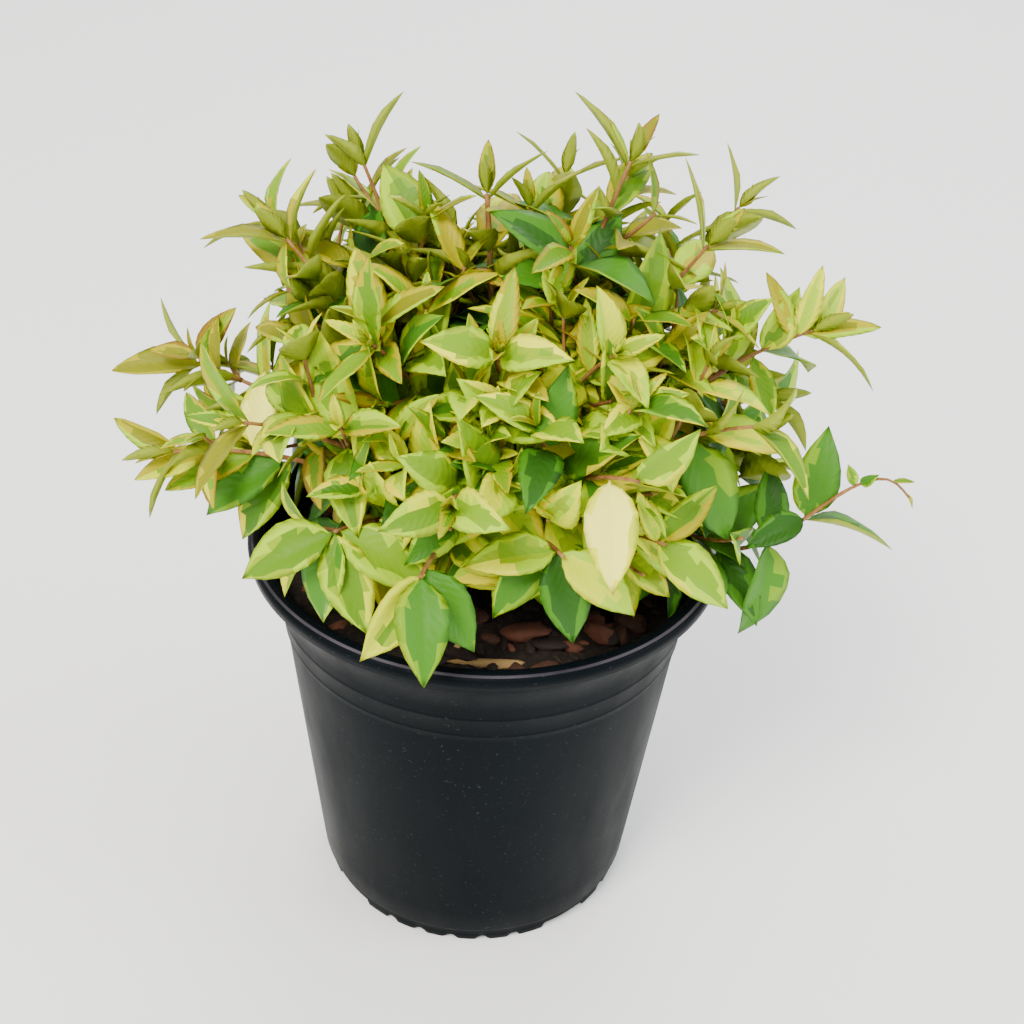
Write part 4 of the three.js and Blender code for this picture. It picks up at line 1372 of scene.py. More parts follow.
TO_VIEWER = (-0.02, -0.83, 0.56)
PLACED_LEAVES = (
    *leaves_on("front_right", (0.86, (0.04, -0.62, -0.79), TO_VIEWER, 41, "CREAM", True)),
    *leaves_on(
        "left_low",
        (0.76, (0.0, 0.5, 0.86), TO_VIEWER, 34, "CREAM", True),
        (0.88, (-0.88, -0.1, -0.38), (-0.2, -0.5, 0.85), 36, "OLIVE"),
        (0.76, (-0.9, -0.15, -0.36), (-0.1, -0.6, 0.8), 40, "OLIVE"),
        (0.68, (-0.8, -0.25, -0.5), (-0.2, -0.6, 0.8), 40, "GREEN"),
        (0.66, (-0.55, -0.4, -0.72), (-0.2, -0.6, 0.8), 40, "VARIEGATED", True),
    ),
    *leaves_on(
        "left_arm",
        (0.96, (-1.0, -0.05, -0.06), (0.0, -0.45, 0.9), 38, "OLIVE"),
        (0.98, (0.48, 0.25, 0.85), (-0.4, -0.8, 0.3), 28, "OLIVE"),
        (0.95, (0.4, -0.35, -0.8), (-0.6, -0.7, 0.4), 30, "OLIVE"),
    ),
    *leaves_on(
        "front_left_skirt",
        (0.8, (0.9, -0.3, -0.5), (0.1, -0.6, 0.8), 41, "VARIEGATED", True),
        (0.82, (-0.92, -0.2, -0.4), (-0.1, -0.65, 0.75), 38, "VARIEGATED", True),
        (0.82, (0.3, -0.5, -0.85), TO_VIEWER, 39, "VARIEGATED"),
        (0.81, (-0.25, -0.45, -0.85), (-0.3, -0.8, 0.5), 37, "FRESH"),
        (0.74, (0.02, -0.75, -0.66), (0.1, -0.8, 0.6), 37, "FRESH"),
    ),
    *leaves_on(
        "front_skirt",
        (0.9, (0.04, -0.72, -0.7), (0.1, -0.85, 0.5), 39, "FRESH", True),
        (0.88, (-0.55, -0.55, -0.65), (0.4, -0.8, 0.5), 38, "VARIEGATED"),
        (0.85, (0.5, -0.45, -0.75), (0.1, -0.8, 0.5), 35, "GREEN"),
    ),
    *leaves_on(
        "front_right_skirt",
        (0.78, (0.85, -0.3, -0.5), (0.1, -0.7, 0.7), 38, "GOLDEN", True),
        (0.78, (-0.95, -0.2, -0.05), (0.0, -0.6, 0.8), 36, "VARIEGATED", True),
    ),
    *leaves_on(
        "right_skirt",
        (0.78, (0.78, -0.35, -0.55), (0.1, -0.7, 0.7), 38, "VARIEGATED", True),
        (0.79, (0.65, 0.1, 0.75), TO_VIEWER, 30, "OLIVE"),
        (0.79, (-0.4, -0.1, 0.9), TO_VIEWER, 25, "TIP_BRIGHT"),
    ),
    *leaves_on(
        "right_arm",
        (0.97, (0.98, 0.1, 0.14), (0.0, -0.5, 0.85), 31, "TIP_OLIVE"),
        (0.96, (0.3, 0.3, 0.9), TO_VIEWER, 28, "TIP_BRIGHT"),
        (0.95, (-0.42, 0.3, 0.86), TO_VIEWER, 27, "TIP_OLIVE"),
        (0.84, (0.35, -0.35, -0.86), TO_VIEWER, 27, "OLIVE", True),
    ),
    *leaves_on(
        "front_right_skirt",
        (0.7, (-0.6, -0.5, -0.65), (-0.1, -0.75, 0.6), 34, "FRESH"),
        (0.76, (0.25, -0.55, -0.8), (0.1, -0.8, 0.6), 36, "GREEN"),
    ),
    *leaves_on("front_upper_right", (0.84, (-0.1, 0.4, 0.9), TO_VIEWER, 27, "TIP_BRIGHT")),
    *leaves_on("front_middle", (0.98, (0.1, 0.5, 0.85), TO_VIEWER, 32, "TIP_BRIGHT")),
    *leaves_on("right_shoulder", (0.78, (0.5, -0.3, -0.81), (0.15, -0.85, 0.5), 47, "GREEN", True)),
    *leaves_on("right_low", (0.85, (0.5, -0.4, -0.75), (0.1, -0.85, 0.5), 40, "GREEN")),
    *leaves_on(
        "right_trailing",
        (0.36, (-0.1, -0.55, 0.55), (0.1, -0.75, 0.65), 32, "FRESH"),
        (0.47, (-0.05, -0.45, -0.88), (0.75, -0.75, 0.3), 42, "GREEN", True),
        (0.48, (-0.06, 0.35, 0.93), (0.1, -0.95, 0.2), 30, "GREEN"),
        (0.615, (0.18, 0.3, 0.92), (-0.1, -0.95, 0.25), 37, "GREEN"),
        (0.61, (0.97, -0.22, -0.08), (0.0, 0.35, 0.93), 36, "GREEN"),
        (0.62, (-0.85, -0.3, -0.3), (0.0, -0.6, 0.8), 26, "DARK"),
        (0.3, (0.5, -0.7, -0.5), (0.2, -0.7, 0.7), 36, "GREEN"),
        (0.81, (-0.2, 0.5, 0.8), TO_VIEWER, 9, "FRESH"),
        (0.83, (0.6, -0.4, 0.7), TO_VIEWER, 9, "FRESH"),
        (0.93, (0.8, -0.1, 0.1), (0.0, -0.4, 0.9), 8, "TIP_OLIVE"),
        (0.985, (0.5, -0.2, -0.84), (0.7, -0.4, 0.5), 7, "TIP_OLIVE"),
    ),
)


@dataclass(frozen=True)
class GrowthRule:
    """Sizes of the seeded rule that twigs and leaves grow by, in millimetres and radians."""

    seed: int = 4712
    # Leafy twig of a main shoot
    internode: float = 14
    leaf_length: float = 41
    foot_scale: float = 1.06
    shortening: float = 0.2
    angles: tuple[float, float] = (math.radians(70), math.radians(50))
    first_turn_jitter: float = 0.3
    trailing_leafy_share: float = 0.26
    least_nodes: int = 3
    # Radii of twigs, as shares of the radius that they leave or in millimetres
    after_bough: float = 0.92
    tip_radius: float = 0.65
    trailing_tip_radius: float = 0.45
    leader_thickness: float = 1.2
    inner_thickness: float = 0.9
    inner_tip_radius: float = 0.75
    side_radii: tuple[float, float] = (1.0, 0.6)
    ring_spacing: float = 3.5
    twig_swelling: float = 0.2
    # Side twigs
    side_internode: float = 13
    side_length: float = 50
    side_lengths: tuple[float, float] = (0.8, 1.15)
    side_foot_scale: float = 1.05
    side_shortening: float = 0.85
    side_angle: float = math.radians(50)
    side_angles: tuple[float, float] = (0.8, 1.2)
    side_bend: float = 0.5
    side_reach: float = 0.35
    side_lift: float = 0.22
    side_leaf_length: float = 38
    side_kind_rise: float = 0.4
    first_side_node: float = 0.7
    side_node_room: float = 0.6
    side_retry: float = 0.88
    side_odds: float = 0.74
    high_side_odds: float = 0.64
    side_limit: float = 0.62
    high_side_limit: float = 0.42
    upper_shares: tuple[float, float] = (0.5, 0.82)
    upper_side_odds: float = 0.4
    upper_leaf_scale: float = 0.74
    # Tufts at the tips: angle, length and cupping of each pair, from the outside in
    tuft_length: float = 31
    tuft_outer: tuple[float, float, float] = (math.radians(48), 1.0, 1.0)
    tuft_middle: tuple[float, float, float] = (math.radians(26), 0.6, 1.4)
    tuft_inner: tuple[float, float, float] = (math.radians(15), 0.45, 1.4)
    tuft_setback: float = 2.5
    full_tuft_scale: float = 0.95
    side_tuft_scale: float = 0.9
    middle_pair_odds: float = 0.6
    # Chance of a kind from the tip's odds, at a shoot's foot and how it rises along it
    tip_kind_odds: float = 0.06
    tip_kind_rise: float = 1.25
    # How a leaf hangs and faces, low and high in the crown
    low_height: float = 205
    high_height: float = 290
    sag: tuple[float, float] = (0.55, 0.2)
    facing: tuple[float, float] = (1.0, 0.45)
    face_along: float = 0.3
    face_jitter: float = 0.26
    pair_angles: tuple[float, float] = (0.84, 1.16)
    pair_lengths: tuple[float, float] = (0.84, 1.14)
    # How a leaf or a twig finds room
    middle_share: float = 0.45
    edge_share: float = 0.4
    tries: int = 6
    retry_angle: float = 0.87
    retry_length: float = 0.94
    retry_turn: float = 0.5
    spacing: float = 9.5
    spacing_share: float = 0.3
    spacing_shrink: float = 0.85
    pot_margin: float = 1.5
    mix_margin: float = 4
    overhang: float = 10
    open_radius: float = 17
    open_shares: tuple[float, ...] = (0.2, 0.5, 0.8)
    open_reaches: tuple[float, ...] = (2, 12, 24, 36)
    twig_clearance: float = 11
    path_shares: tuple[float, ...] = (0.25, 0.5, 0.75, 1)

    def by_height(self, ends: tuple[float, float], height: float) -> float:
        """Value at a height, between that for the foot of the crown and that for its top."""
        share = (height - self.low_height) / (self.high_height - self.low_height)
        return ends[0] + (ends[1] - ends[0]) * min(max(share, 0.0), 1.0)

    def leaf_angle(self, share: float) -> float:
        """Angle between a leaf and its twig at a share of the twig's length."""
        return self.angles[0] + (self.angles[1] - self.angles[0]) * share

    def shortened(self, length: float, share: float) -> float:
        """Length of a leaf at a share of its twig's length, where leaves get shorter towards the tip."""
        return length * (self.foot_scale - self.shortening * share)


RULE = GrowthRule()
# Share of the trailing shoot's leafy part, and how far it is off the shoot's line there
TRAILING_LINE = (
    (0.0, 0.0), (0.25, -20.0), (0.45, -27.0), (0.64, -13.0),
    (0.78, 5.0), (0.9, 14.0), (0.97, 13.0), (1.0, 7.0),
)
TRAILING_STEPS = 60
TRAILING_SMOOTHING = 14
TWIG_BARK = BarkFinish("young_twig_bark", ((108, 70, 36), (148, 102, 54), (172, 132, 76)), 260, 0.0002, 0.6)
BOUGH_BARK = BarkFinish("bough_bark", ((98, 64, 46), (138, 94, 66), (164, 120, 88)), 280, 0.0003, 0.7)
STEM_BARK = BarkFinish("main_stem_bark", ((70, 48, 36), (108, 78, 58), (146, 112, 86)), 300, 0.0006)


def open_turn(along: Vector) -> float:
    """Turn about a twig that opens a pair of leaves square to the photograph's view."""
    across = along.cross(Vector(TO_VIEWER))
    return math.atan2(across.dot(sideways(along, math.pi / 2)), across.dot(sideways(along, 0.0)))


class Crown:
    """Twigs and leaves of the whole plant."""

    def __init__(self, shoots: Sequence[GrownShoot]) -> None:
        """Readies the blades and the pieces that they are sorted into.

        Args:
            shoots: The main shoots.
        """
        self.shoots = shoots
        self.rng = random.Random(RULE.seed)
        self.templates = {shape: LeafTemplates(shape, self.rng) for shape in LeafShape}
        self.twigs = JoinedShapes("leafy_twigs")
        self.colours = list(LeafColour)
        self.leaves = {kind: JoinedShapes(f"leaves_{kind.name.lower()}") for kind in LeafKind}
        self.middles = [Vector((0.0, 0.0, 0.0))]
        self.kept_open: list[Vector] = []
        low, high = CAD_BOX
        self.low = Vector(low) / MILLIMETRE - Vector((RULE.overhang,) * 3)
        self.high = Vector(high) / MILLIMETRE + Vector((RULE.overhang,) * 3)

    def clear(self, point: Vector) -> bool:
        """Tells whether a point is inside the plant's reach and clear of pot and growing mix.

        Args:
            point: The point.

        Returns:
            Whether a leaf or twig may be there.
        """
        if any(value < low or value > high for value, low, high in zip(point, self.low, self.high)):
            return False
        reach = math.hypot(point.x, point.y)
        if reach < POT.rim_radius + RULE.pot_margin:
            over_rim = reach > POT.rim_radius - POT.rim_width - RULE.pot_margin
            return point.z > (POT.height + RULE.pot_margin if over_rim else MIX_HEIGHT + RULE.mix_margin)
        return point.z > POT.cove_foot_height

    def kind_for(self, dress: Dress, share: float) -> LeafKind:
        """Picks a leaf's kind.

        Args:
            dress: Colouring of its shoot.
            share: How far out it stands, as a share of the shoot's length.

        Returns:
            The kind.
        """
        low, high = KIND_ODDS[dress]
        at_tip = self.rng.random() < RULE.tip_kind_odds + RULE.tip_kind_rise * share
        chances = high if at_tip else low
        return self.rng.choices(list(chances), weights=list(chances.values()))[0]

    def crowded(self, middle: Vector, spacing: float) -> bool:
        """Tells whether a leaf would be close to another or hide what is kept in view.

        Args:
            middle: The leaf's middle.
            spacing: Least distance from other middles.

        Returns:
            Whether it is crowded.
        """
        if min((middle - other).length_squared for other in self.middles) < spacing * spacing:
            return True
        if any((middle - other).length < RULE.open_radius for other in self.kept_open):
            return True
        left, top, right, bottom = MIX_WINDOW
        across, down = VIEWPOINT.picture_place(middle)
        return left < across < right and top < down < bottom

    def lay_leaf(self, base: Vector, direction: Vector, facing: Vector, length: float, kind: LeafKind,
                 spacing: float = 0.0) -> bool:
        """Adds a leaf in a direction where it has room.

        Args:
            base: Where it leaves the twig.
            direction: Direction of the blade.
            facing: Direction that its upper face turns to.
            length: Length of the blade.
            kind: Kind of leaf.
            spacing: Least distance of its middle from those of other leaves, 0 for any.

        Returns:
            Whether it had room.
        """
        direction = direction.normalized()
        normal = (facing - direction * facing.dot(direction)).normalized()
        across = direction.cross(normal)
        form = kind.value.shape.value
        middle = base + direction * length * RULE.middle_share
        edge = across * length * form.width * RULE.edge_share
        tip = base + direction * length - normal * length * form.droop
        if not all(self.clear(point) for point in (tip, middle + edge, middle - edge, middle)):
            return False
        if spacing and self.crowded(middle, spacing):
            return False
        self.middles.append(middle)
        shape = self.rng.choice(self.templates[kind.value.shape].shapes)
        turned = turned_to(across, direction, normal)
        place = Matrix.Translation(base) @ turned @ Matrix.Scale(length, 4)
        self.leaves[kind].add(shape, place, kind.value.deal(shape, self.rng, self.colours))
        return True

    def add_leaf(self, base: Vector, along: Vector, turn: float, angle: float, length: float,
                 kind: LeafKind, cupped: float = 0.0) -> None:
        """Adds a leaf, closer to its twig or shorter where it would leave its room.

        Args:
            base: Where it leaves the twig.
            along: Direction of the twig.
            turn: Turn about the twig.
            angle: Angle from the twig.
            length: Length of the blade.
            kind: Kind of leaf.
            cupped: How much its upper face turns to the twig, as in a tuft.
        """
        rng = self.rng
        outward = Vector((base.x, base.y, 0.0)).normalized()
        facing = UP + outward * RULE.by_height(RULE.facing, base.z) + along * RULE.face_along
        facing += Vector([rng.uniform(-1, 1) for _ in range(3)]) * RULE.face_jitter
        sag = RULE.by_height(RULE.sag, base.z)
        for attempt in range(RULE.tries):
            leaf_angle = angle * RULE.retry_angle**attempt
            side = sideways(along, turn + attempt * rng.uniform(-RULE.retry_turn, RULE.retry_turn))
            direction = leaning(along, side, leaf_angle) - UP * sag * math.sin(leaf_angle) ** 2
            size = length * RULE.retry_length**attempt
            spacing = min(RULE.spacing, size * RULE.spacing_share) * RULE.spacing_shrink**attempt
            if self.lay_leaf(base, direction, facing - side * cupped, size, kind, spacing):
                return

    def add_pair(self, base: Vector, along: Vector, turn: float, angle: float, length: float,
                 kind: LeafKind, cupped: float = 0.0) -> None:
        """Adds two opposite leaves.

        Args:
            base: Where they leave the twig.
            along: Direction of the twig.
            turn: Turn of the first one about the twig.
            angle: Angle from the twig.
            length: Length of the blades.
            kind: Kind of leaf.
            cupped: How much their upper faces turn to the twig.
        """
        for half in (0.0, math.pi):
            leaf_angle = angle * self.rng.uniform(*RULE.pair_angles)
            size = length * self.rng.uniform(*RULE.pair_lengths)
            self.add_leaf(base, along, turn + half, leaf_angle, size, kind, cupped)

    def add_tuft(self, curve: Curve, turn: float, scale: float, kind: LeafKind,
                 outer_kind: LeafKind) -> None:
        """Adds close pairs of small leaves at a twig's tip.

        Args:
            curve: The twig.
            turn: Turn of the first pair about the twig.
            scale: Size beside the tuft of a main shoot.
            kind: Kind of the inner leaves.
            outer_kind: Kind of the first pair.
        """
        along, tip = curve.tangent(1.0), curve.point(1.0)
        foot = curve.point(1 - RULE.tuft_setback * scale / curve.length)
        full = scale > RULE.full_tuft_scale

        def add(base: Vector, pair_turn: float, pair: Triple, pair_kind: LeafKind) -> None:
            """Adds one pair of the tuft."""
            angle, share, cupped = pair
            self.add_pair(base, along, pair_turn, angle, RULE.tuft_length * scale * share, pair_kind, cupped)

        add(foot, turn, RULE.tuft_outer, outer_kind)
        if full or self.rng.random() < RULE.middle_pair_odds:
            add(tip, turn + math.pi / 2, RULE.tuft_middle, kind)
        if full:
            add(tip, turn, RULE.tuft_inner, kind)

    def add_twig(self, curve: Curve, start: float, end: float, sides: int = 6) -> None:
        """Adds a tapering twig.

        Args:
            curve: Its line.
            start: Radius at its foot.
            end: Radius at its tip.
            sides: Corners of its section.
        """
        rings = max(4, round(curve.length / RULE.ring_spacing))
        radius = knotty(start, end, curve.length, RULE.twig_swelling)
        self.twigs.add_mesh(sweep(curve, radius, sides, rings))

    def side_twig(self, base: Vector, along: Vector, turn: float, length: float) -> Curve | None:
        """Finds room for a side twig that leaves at an angle and turns back towards the light.

        Args:
            base: Where it leaves.
            along: Direction of the twig that bears it.
            turn: Turn about that twig.
            length: Length to try first.

        Returns:
            Its line, or None where there is no room.
        """
        side = sideways(along, turn)
        start = leaning(along, side, RULE.side_angle * self.rng.uniform(*RULE.side_angles))
        for attempt in range(RULE.tries):
            size = length * RULE.side_retry**attempt
            bend = base + start * size * RULE.side_bend
            tip = bend + start * size * RULE.side_reach + UP * size * RULE.side_lift
            curve = Curve.bezier((base, bend, tip))
            path = [curve.point(share) for share in RULE.path_shares]
            near = any((point - place).length < RULE.twig_clearance
                       for point in path for place in self.kept_open)
            if not near and all(self.clear(point) for point in path):
                return curve
        return None

    def tuft_kinds(self, dress: Dress) -> tuple[LeafKind, LeafKind]:
        """Picks the kinds of a tuft's leaves.

        Args:
            dress: Colouring of its shoot.

        Returns:
            The kind of the inner leaves and of the outer pair.
        """
        if dress is Dress.OLIVE:
            return LeafKind.TIP_OLIVE, self.rng.choice((LeafKind.TIP_OLIVE, LeafKind.OLIVE))
        if dress is Dress.GREEN:
            return LeafKind.TIP_OLIVE, LeafKind.FRESH
        inner = self.rng.choice((LeafKind.TIP_BRIGHT, LeafKind.TIP_BRIGHT, LeafKind.TIP_OLIVE))
        outer = (LeafKind.VARIEGATED, LeafKind.GOLDEN, LeafKind.OLIVE)
        return inner, self.rng.choices(outer, weights=(4, 3, 2 if dress is Dress.MIXED else 0.5))[0]

    def side_odds(self, dress: Dress, share: float) -> tuple[float, float]:
        """Odds of a side twig.

        Args:
            dress: Colouring of its shoot.
            share: Share of the shoot's length that it would leave at.

        Returns:
            The odds, and the scale of its leaves.
        """
        if dress is not Dress.OLIVE:
            return (RULE.side_odds if share < RULE.side_limit else 0.0), 1.0
        if share < RULE.high_side_limit:
            return RULE.high_side_odds, 1.0
        low, high = RULE.upper_shares
        return (RULE.upper_side_odds if low < share < high else 0.0), RULE.upper_leaf_scale

    def grow_side(self, curve: Curve, turn: float, dress: Dress, share: float, scale: float) -> None:
        """Grows the leaves of a side twig.

        Args:
            curve: The side twig.
            turn: Turn of its first pair.
            dress: Colouring of its shoot.
            share: Share of the shoot's length that it leaves at.
            scale: Size of its leaves beside those lower down.
        """
        self.add_twig(curve, *RULE.side_radii, sides=5)
        count = max(1, round(curve.length / RULE.side_internode) - 1)
        for node in range(count):
            place = (node + RULE.first_side_node) / (count + RULE.side_node_room)
            length = RULE.shortened(RULE.side_leaf_length * scale, place)
            kind = self.kind_for(dress, share + RULE.side_kind_rise * place)
            node_turn = turn + node * math.pi / 2
            base, along = curve.point(place), curve.tangent(place)
            self.add_pair(base, along, node_turn, RULE.leaf_angle(place), length, kind)
        tuft_turn = turn + count * math.pi / 2
        self.add_tuft(curve, tuft_turn, RULE.side_tuft_scale * scale, *self.tuft_kinds(dress))

    def trailing_line(self, grown: GrownShoot) -> Curve:
        """Line of the trailing shoot's leafy part: it sinks, rises again and curls over at the tip.

        Args:
            grown: The trailing shoot.

        Returns:
            The line.
        """
        start = grown.bare_share
        drops = np.array(TRAILING_LINE)
        points = []
        for step in range(TRAILING_STEPS + 1):
            share = step / TRAILING_STEPS
            drop = float(np.interp(share, drops[:, 0], drops[:, 1]))
            points.append(grown.curve.point(start + (1 - start) * share) + UP * drop)
        smooth = np.array([list(point) for point in points])
        for _ in range(TRAILING_SMOOTHING):
            smooth[1:-1] = (smooth[:-2] + smooth[1:-1] * 2 + smooth[2:]) / 4
        return Curve([Vector(place) for place in smooth])

    def leafy_line(self, grown: GrownShoot) -> Curve:
        """Grows the leafy twig of a main shoot.

        Args:
            grown: The shoot.

        Returns:
            The twig's line.
        """
        shoot = grown.shoot
        sizes = shoot.tier.value
        main = grown.curve.part(sizes.bare_share, shoot.twig_end)
        if shoot.trails:
            main = self.trailing_line(grown)
        if sizes.bough:
            tip_radius = RULE.trailing_tip_radius if shoot.trails else RULE.tip_radius
            self.add_twig(main, BOUGH_TIP_RADIUS * RULE.after_bough, tip_radius)
        else:
            thick = RULE.leader_thickness if shoot.tier is Tier.LEADER else RULE.inner_thickness
            self.add_twig(grown.curve, sizes.foot_radius * thick, RULE.inner_tip_radius * thick)
        return main

    def grow_shoot(self, grown: GrownShoot) -> None:
        """Grows one main shoot: its leafy twig, side twigs, pairs of leaves and tuft.

        Args:
            grown: The shoot.
        """
        shoot, main = grown.shoot, self.leafy_line(grown)
        count = max(RULE.least_nodes, round(main.length / RULE.internode))
        leafy = round(count * RULE.trailing_leafy_share) if shoot.trails else count - 1
        first_turn = open_turn(main.tangent(1.0)) - leafy * math.pi / 2
        first_turn += self.rng.uniform(-RULE.first_turn_jitter, RULE.first_turn_jitter)
        for node in range(leafy):
            share = (node + 0.5) / count
            base, along = main.point(share), main.tangent(share)
            turn = first_turn + node * math.pi / 2
            length = RULE.shortened(RULE.leaf_length, share)
            kind = self.kind_for(shoot.dress, share)
            self.add_pair(base, along, turn, RULE.leaf_angle(share), length, kind)
            for half in (0.0, math.pi):
                chance, scale = self.side_odds(shoot.dress, share)
                if self.rng.random() > chance:
                    continue
                reach = RULE.side_length * (RULE.side_foot_scale - RULE.side_shortening * share)
                reach *= self.rng.uniform(*RULE.side_lengths)
                twig = self.side_twig(base, along, turn + half, reach)
                if twig:
                    self.grow_side(twig, turn + half + math.pi / 2, shoot.dress, share, scale)
        if not shoot.trails:
            self.add_tuft(main, first_turn + leafy * math.pi / 2, 1.0, *self.tuft_kinds(shoot.dress))

    def place_leaves(self) -> None:
        """Adds the leaves that have their own places and keeps the view of some of them open."""
        lines = {grown.shoot.name: self.trailing_line(grown) if grown.shoot.trails else grown.curve
                 for grown in self.shoots}
        for leaf in PLACED_LEAVES:
            base, towards = lines[leaf.shoot].point(leaf.share), Vector(leaf.towards).normalized()
            if not self.lay_leaf(base, towards, Vector(leaf.facing), leaf.length, leaf.kind):
                LOG.warning("no room for a %s leaf on %s", leaf.kind.name.lower(), leaf.shoot)
            for share in RULE.open_shares if leaf.open_view else ():
                middle = base + towards * leaf.length * share
                self.kept_open += [middle + Vector(TO_VIEWER) * reach for reach in RULE.open_reaches]

    def build(self) -> None:
        """Grows every shoot and makes the pieces."""
        self.place_leaves()
        for grown in self.shoots:
            self.grow_shoot(grown)
        masses = [f"foliage_{grown.shoot.name}" for grown in self.shoots]
        dressed(self.twigs.build([TWIG_BARK.material()]), masses)
        materials = [colour.value.material() for colour in self.colours]
        for kind, joined in self.leaves.items():
            LOG.info("%s: %d leaves", kind.name.lower(), len(joined.placed))
            dressed(joined.build(materials), masses)


@dataclass
class Limbs:
    """Main stem and boughs, with their bark in relief."""

    shoots: Sequence[GrownShoot]
    stem_sides: int = 36
    stem_rings: int = 50
    stem_grain: float = 2.6
    furrow_depth: float = 0.55
    bough_sides: int = 10
    bough_rings: int = 26
    bough_grain: float = 1.4
    bough_relief: float = 0.14
    bough_swelling: float = 0.18
    overlap: float = 0.004

    def build_stem(self) -> None:
        """Makes the main stem."""
        bm = sweep(STEM.axis(), STEM.radius, self.stem_sides, self.stem_rings)
        roughen(bm, self.stem_grain, self.furrow_depth, STEM.foot_height + 0.5)
        dressed(finished("main_stem_bark", bm, STEM_BARK.material()), ["main_stem"])

    def build_boughs(self) -> None:
        """Makes the boughs."""
        joined = JoinedShapes("boughs")
        nodes = []
        for grown in self.shoots:
            sizes = grown.shoot.tier.value
            if sizes.bough:
                nodes.append(f"bough_{grown.shoot.name}")
                curve = grown.curve.part(0.0, sizes.bare_share + self.overlap)
                radius = knotty(sizes.foot_radius, BOUGH_TIP_RADIUS, curve.length, self.bough_swelling)
                bm = sweep(curve, radius, self.bough_sides, self.bough_rings)
                roughen(bm, self.bough_grain, self.bough_relief)
                joined.add_mesh(bm)
        dressed(joined.build([BOUGH_BARK.material()]), nodes)


@dataclass
class NurseryPot:
    """Round moulded pot with a rolled rim, two ring lines and a scalloped foot ring."""

    sizes: PotSizes = field(default_factory=PotSizes)
    steps: int = 360
    lip_steps: int = 10
    cove_steps: int = 7
    # Steps out and up from the wall below a ring line that draw its edge
    ring_line: tuple[tuple[float, float], ...] = ((0, -0.7), (0.25, -0.3), (0.75, 0.1), (0.62, 0.7))
    wall_heights: Sequence[float] = range(20, 130, 12)

    def underside(self) -> list[tuple[float, float]]:
        """Section of the pad, the channel around it and the foot ring, from the middle outwards.

        Returns:
            Radii and heights.
        """
        pot = self.sizes
        ring = pot.ring_outer
        return [
            (0.0, 0.0), (pot.pad_radius * 0.5, 0.0), (pot.pad_radius, 0.0),
            (pot.pad_radius + 2, pot.channel_depth), (pot.ring_inner - 1, pot.channel_depth),
            (pot.ring_inner, 0.0), (ring - 0.5, 0.0), (ring, 0.5), (ring + 0.2, 3.0),
            (ring + 0.3, pot.foot_height - 1.6), (ring + 1.1, pot.foot_height - 0.7),
            (pot.foot_radius - 0.3, pot.foot_height - 0.1), (pot.foot_radius, pot.foot_height + 0.6),
        ]

    def profile(self) -> list[tuple[float, float]]:
        """Section of the pot, from the middle of its underside to that of its floor.

        Returns:
            Radii and heights.
        """
        pot = self.sizes
        points = self.underside()
        points += [(pot.wall_radius(height), height) for height in self.wall_heights]
        for ring in pot.ring_heights:
            foot = pot.wall_radius(ring - 1)
            points += [(foot + out, ring + up) for out, up in self.ring_line]
            points.append((pot.wall_radius(ring + 1.4), ring + 1.6))
        cove = self.cove()
        under_rim = pot.height - pot.rim_band
        points += cove + [(pot.rim_radius - 0.8, under_rim - 0.3), (pot.rim_radius - 0.3, under_rim)]
        half_width, half_band = pot.rim_width / 2, pot.rim_band / 2
        for step in range(self.lip_steps + 1):
            angle = math.pi * step / self.lip_steps
            reach = pot.rim_radius - half_width + math.cos(angle) * half_width
            points.append((reach, pot.height - half_band + math.sin(angle) * half_band))
        points += [(radius - pot.wall, height) for radius, height in reversed(cove[:-1])]
        floor = pot.channel_depth + pot.floor
        return points + [(pot.foot_radius - pot.wall, floor), (0.0, floor)]

    def cove(self) -> list[tuple[float, float]]:
        """Outer side of the cove that flares from the wall to the underside of the rim.

        Returns:
            Radii and heights, from the foot of the cove up.
        """
        pot = self.sizes
        foot = Vector((pot.cove_foot_radius, pot.cove_foot_height, 0.0))
        bend = foot + Vector((2, 10, 0))
        top = Vector((pot.rim_radius - 2, pot.height - pot.rim_band - 1, 0.0))
        line = Curve.bezier((foot, bend, top))
        places = [line.point(step / self.cove_steps) for step in range(self.cove_steps + 1)]
        return [(place.x, place.y) for place in places]

    def scallop(self, azimuth: float) -> float:
        """Height of the foot ring's underside at an azimuth.

        Args:
            azimuth: Azimuth in radians.

        Returns:
            Height in millimetres, 0 under a foot.
        """
        pot = self.sizes
        run_span = math.tau / pot.runs
        inside = (azimuth - pot.first_gap + pot.gap_width / 2) % run_span
        if inside < pot.gap_width:
            return pot.gap_height
        foot_span = (run_span - pot.gap_width) / pot.feet_per_run
        nearest = round((inside - pot.gap_width) / foot_span)
        if nearest in (0, pot.feet_per_run):
            return 0.0
        middle = (pot.ring_inner + pot.ring_outer) / 2
        off = abs(inside - pot.gap_width - nearest * foot_span) * middle
        return math.sqrt(max(0.0, pot.notch_radius**2 - off**2))

    def build(self) -> None:
        """Makes the pot."""
        bm = lathe(self.profile(), self.steps)
        low = self.sizes.ring_inner - 0.5
        for vert in bm.verts:
            reach = math.hypot(vert.co.x, vert.co.y)
            if reach > low and vert.co.z < self.sizes.channel_depth:
                vert.co.z = max(vert.co.z, self.scallop(math.atan2(vert.co.y, vert.co.x)))
        dressed(finished("pot_shell", bm, PlasticFinish().material()), ["pot"])


class ChipColour(Enum):
    """Plain colours of the bark chips."""

    BROWN = ChipFinish("brown", (66, 42, 30))
    DARK = ChipFinish("dark", (36, 26, 20))
    RED = ChipFinish("red", (92, 54, 38))
    TAN = ChipFinish("tan", (162, 130, 82))


@dataclass(frozen=True)
class Chip:
    """A chip of bark on the mix, in millimetres and radians."""

    x: float
    y: float
    length: float
    breadth: float
    turn: float
    colour: ChipColour


